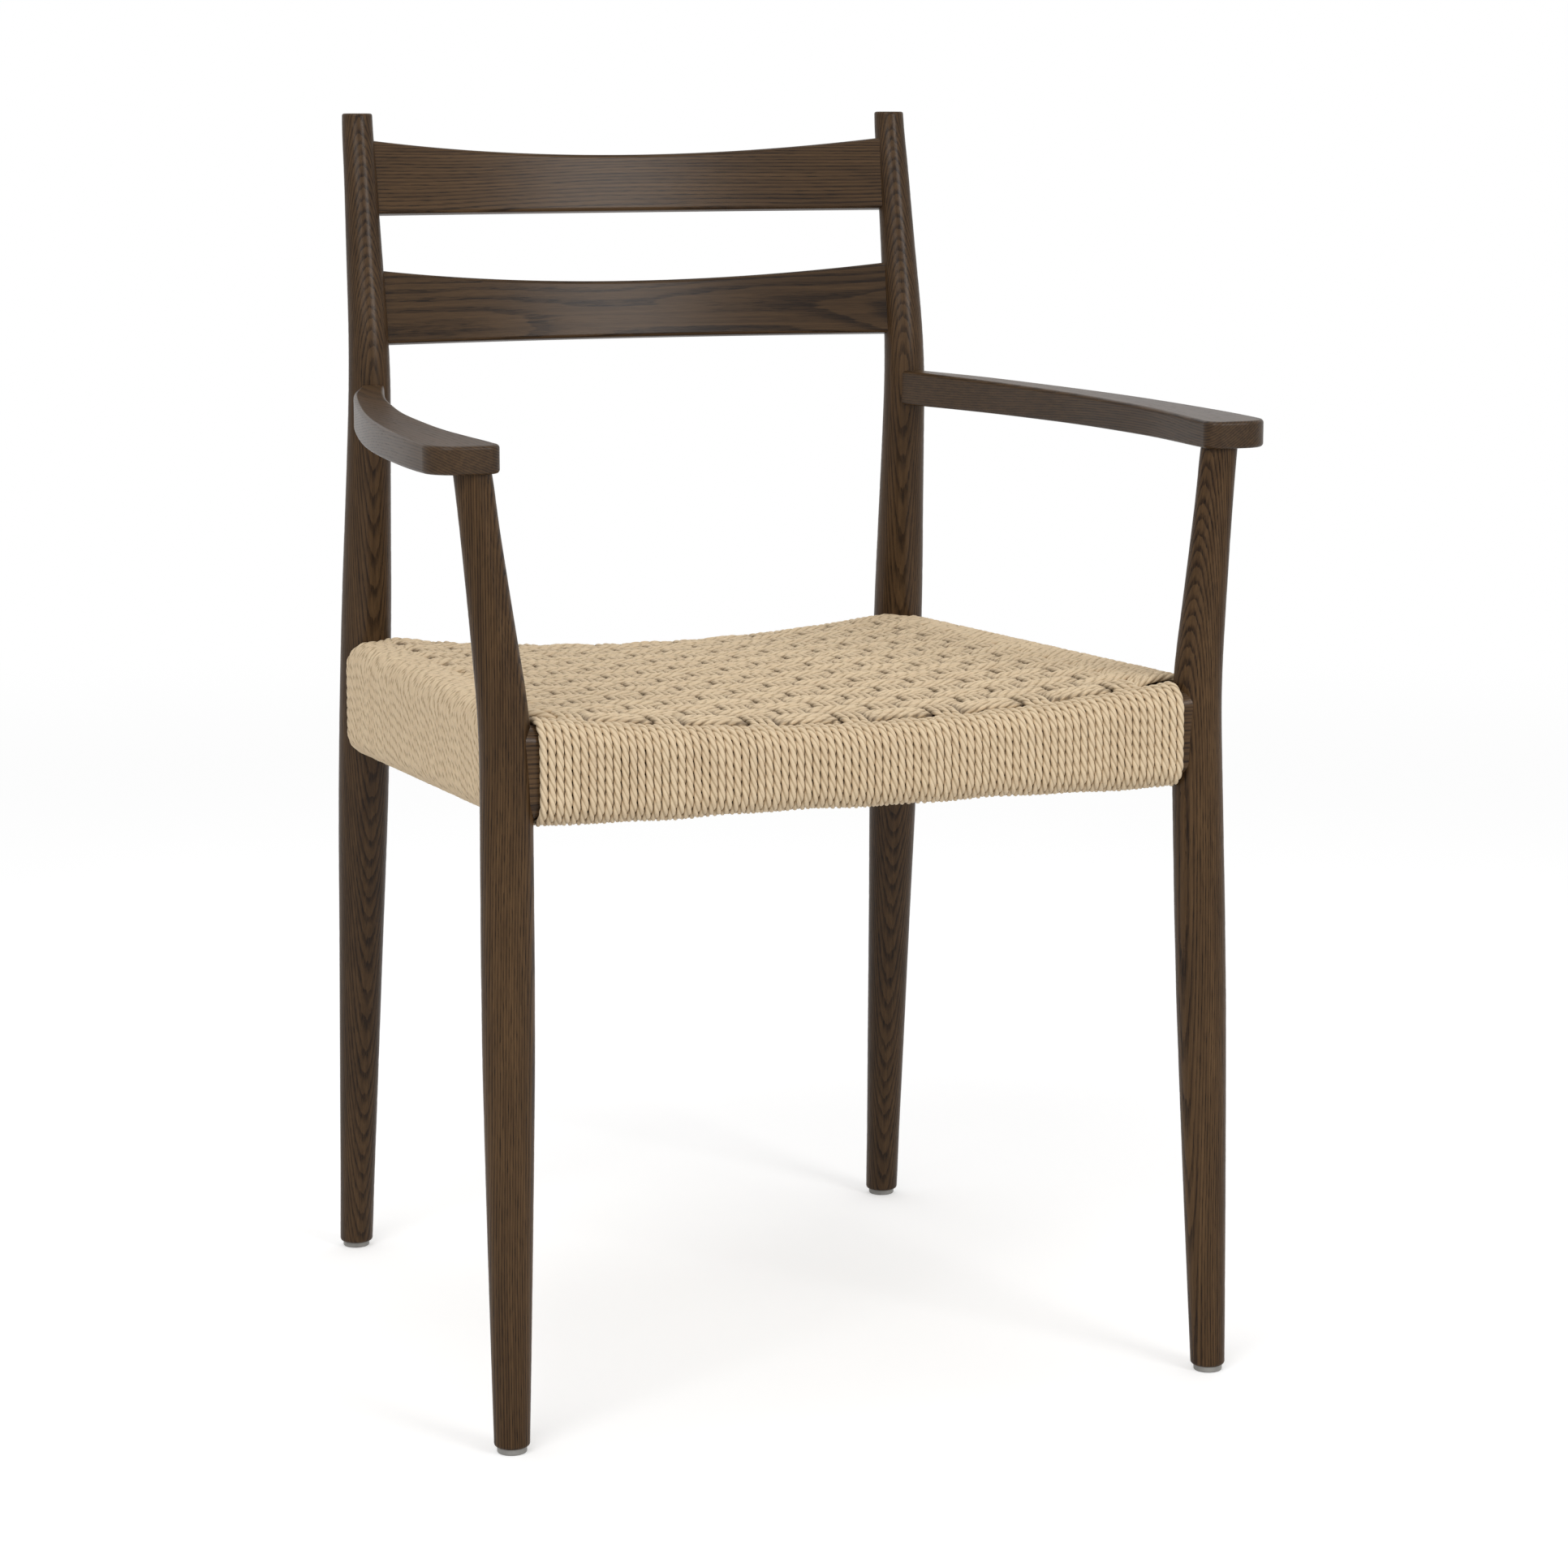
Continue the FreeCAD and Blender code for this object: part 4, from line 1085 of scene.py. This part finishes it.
def lay_floor(stage):
    """A round pale floor that the camera sees as white except where the chair shades it."""
    disc = bmesh.new()
    bmesh.ops.create_circle(disc, cap_ends=True, segments=96, radius=stage.floor_radius)
    mesh = bpy.data.meshes.new("floor")
    disc.to_mesh(mesh)
    disc.free()
    floor = link(bpy.data.objects.new("floor", mesh))
    material, tree, surface = new_material("pale_floor")
    tree.nodes.remove(surface)
    matt = add(tree, "BsdfDiffuse")
    matt.inputs["Color"].default_value = (*stage.floor_colour, 1.0)
    lifted = add(tree, "AddShader")
    wire(tree, matt.outputs[0], lifted.inputs[0])
    wire(tree, white_light(tree, "Emission", stage.glow), lifted.inputs[1])
    reach = add(tree, "VectorMath", operation="LENGTH")
    wire(tree, add(tree, "TexCoord").outputs["Object"], reach.inputs[0])
    far = ramp(tree, reach.outputs["Value"], stage.fade_from, stage.fade_to)
    shown = either_shader(tree, far, lifted.outputs[0], white_light(tree, "Emission", 1.0))
    both = either_shader(tree, seen_ray(tree), matt.outputs[0], shown)
    wire(tree, both, tree.nodes["Material Output"].inputs["Surface"])
    mesh.materials.append(material)


class ARMCHAIR_PT_panel(bpy.types.Panel):
    """The steps that finish the armchair"""
    bl_idname = "ARMCHAIR_PT_panel"
    bl_label = "Woven Seat Armchair"
    bl_space_type = "VIEW_3D"
    bl_region_type = "UI"
    bl_category = "Armchair"

    def draw(self, context):
        for operator in OPERATORS:
            self.layout.operator(operator.bl_idname)
        for group in (context.scene.armchair_cord, context.scene.armchair_finish,
                      context.scene.armchair_stage):
            box = self.layout.box()
            for name in group.__annotations__:
                box.prop(group, name)


OPERATORS = (
    ARMCHAIR_OT_set_stage,
    ARMCHAIR_OT_finish_wood,
    ARMCHAIR_OT_finish_fittings,
    ARMCHAIR_OT_wind_front_rail,
    ARMCHAIR_OT_wind_rear_rail,
    ARMCHAIR_OT_lay_warp,
    ARMCHAIR_OT_weave_weft,
)
CLASSES = (ArmchairCordSettings, ArmchairFinishSettings, ArmchairStageSettings) + OPERATORS + (
    ARMCHAIR_PT_panel,)


def register():
    for item in CLASSES:
        bpy.utils.register_class(item)
    bpy.types.Scene.armchair_cord = PointerProperty(type=ArmchairCordSettings)
    bpy.types.Scene.armchair_finish = PointerProperty(type=ArmchairFinishSettings)
    bpy.types.Scene.armchair_stage = PointerProperty(type=ArmchairStageSettings)


def unregister():
    del bpy.types.Scene.armchair_stage
    del bpy.types.Scene.armchair_finish
    del bpy.types.Scene.armchair_cord
    for item in reversed(CLASSES):
        bpy.utils.unregister_class(item)


def main():
    register()
    bpy.ops.armchair.set_stage()
    bpy.ops.armchair.finish_wood()
    bpy.ops.armchair.finish_fittings()
    bpy.ops.armchair.wind_front_rail()
    bpy.ops.armchair.wind_rear_rail()
    bpy.ops.armchair.lay_warp()
    bpy.ops.armchair.weave_weft()


if __name__ == "__main__":
    main()
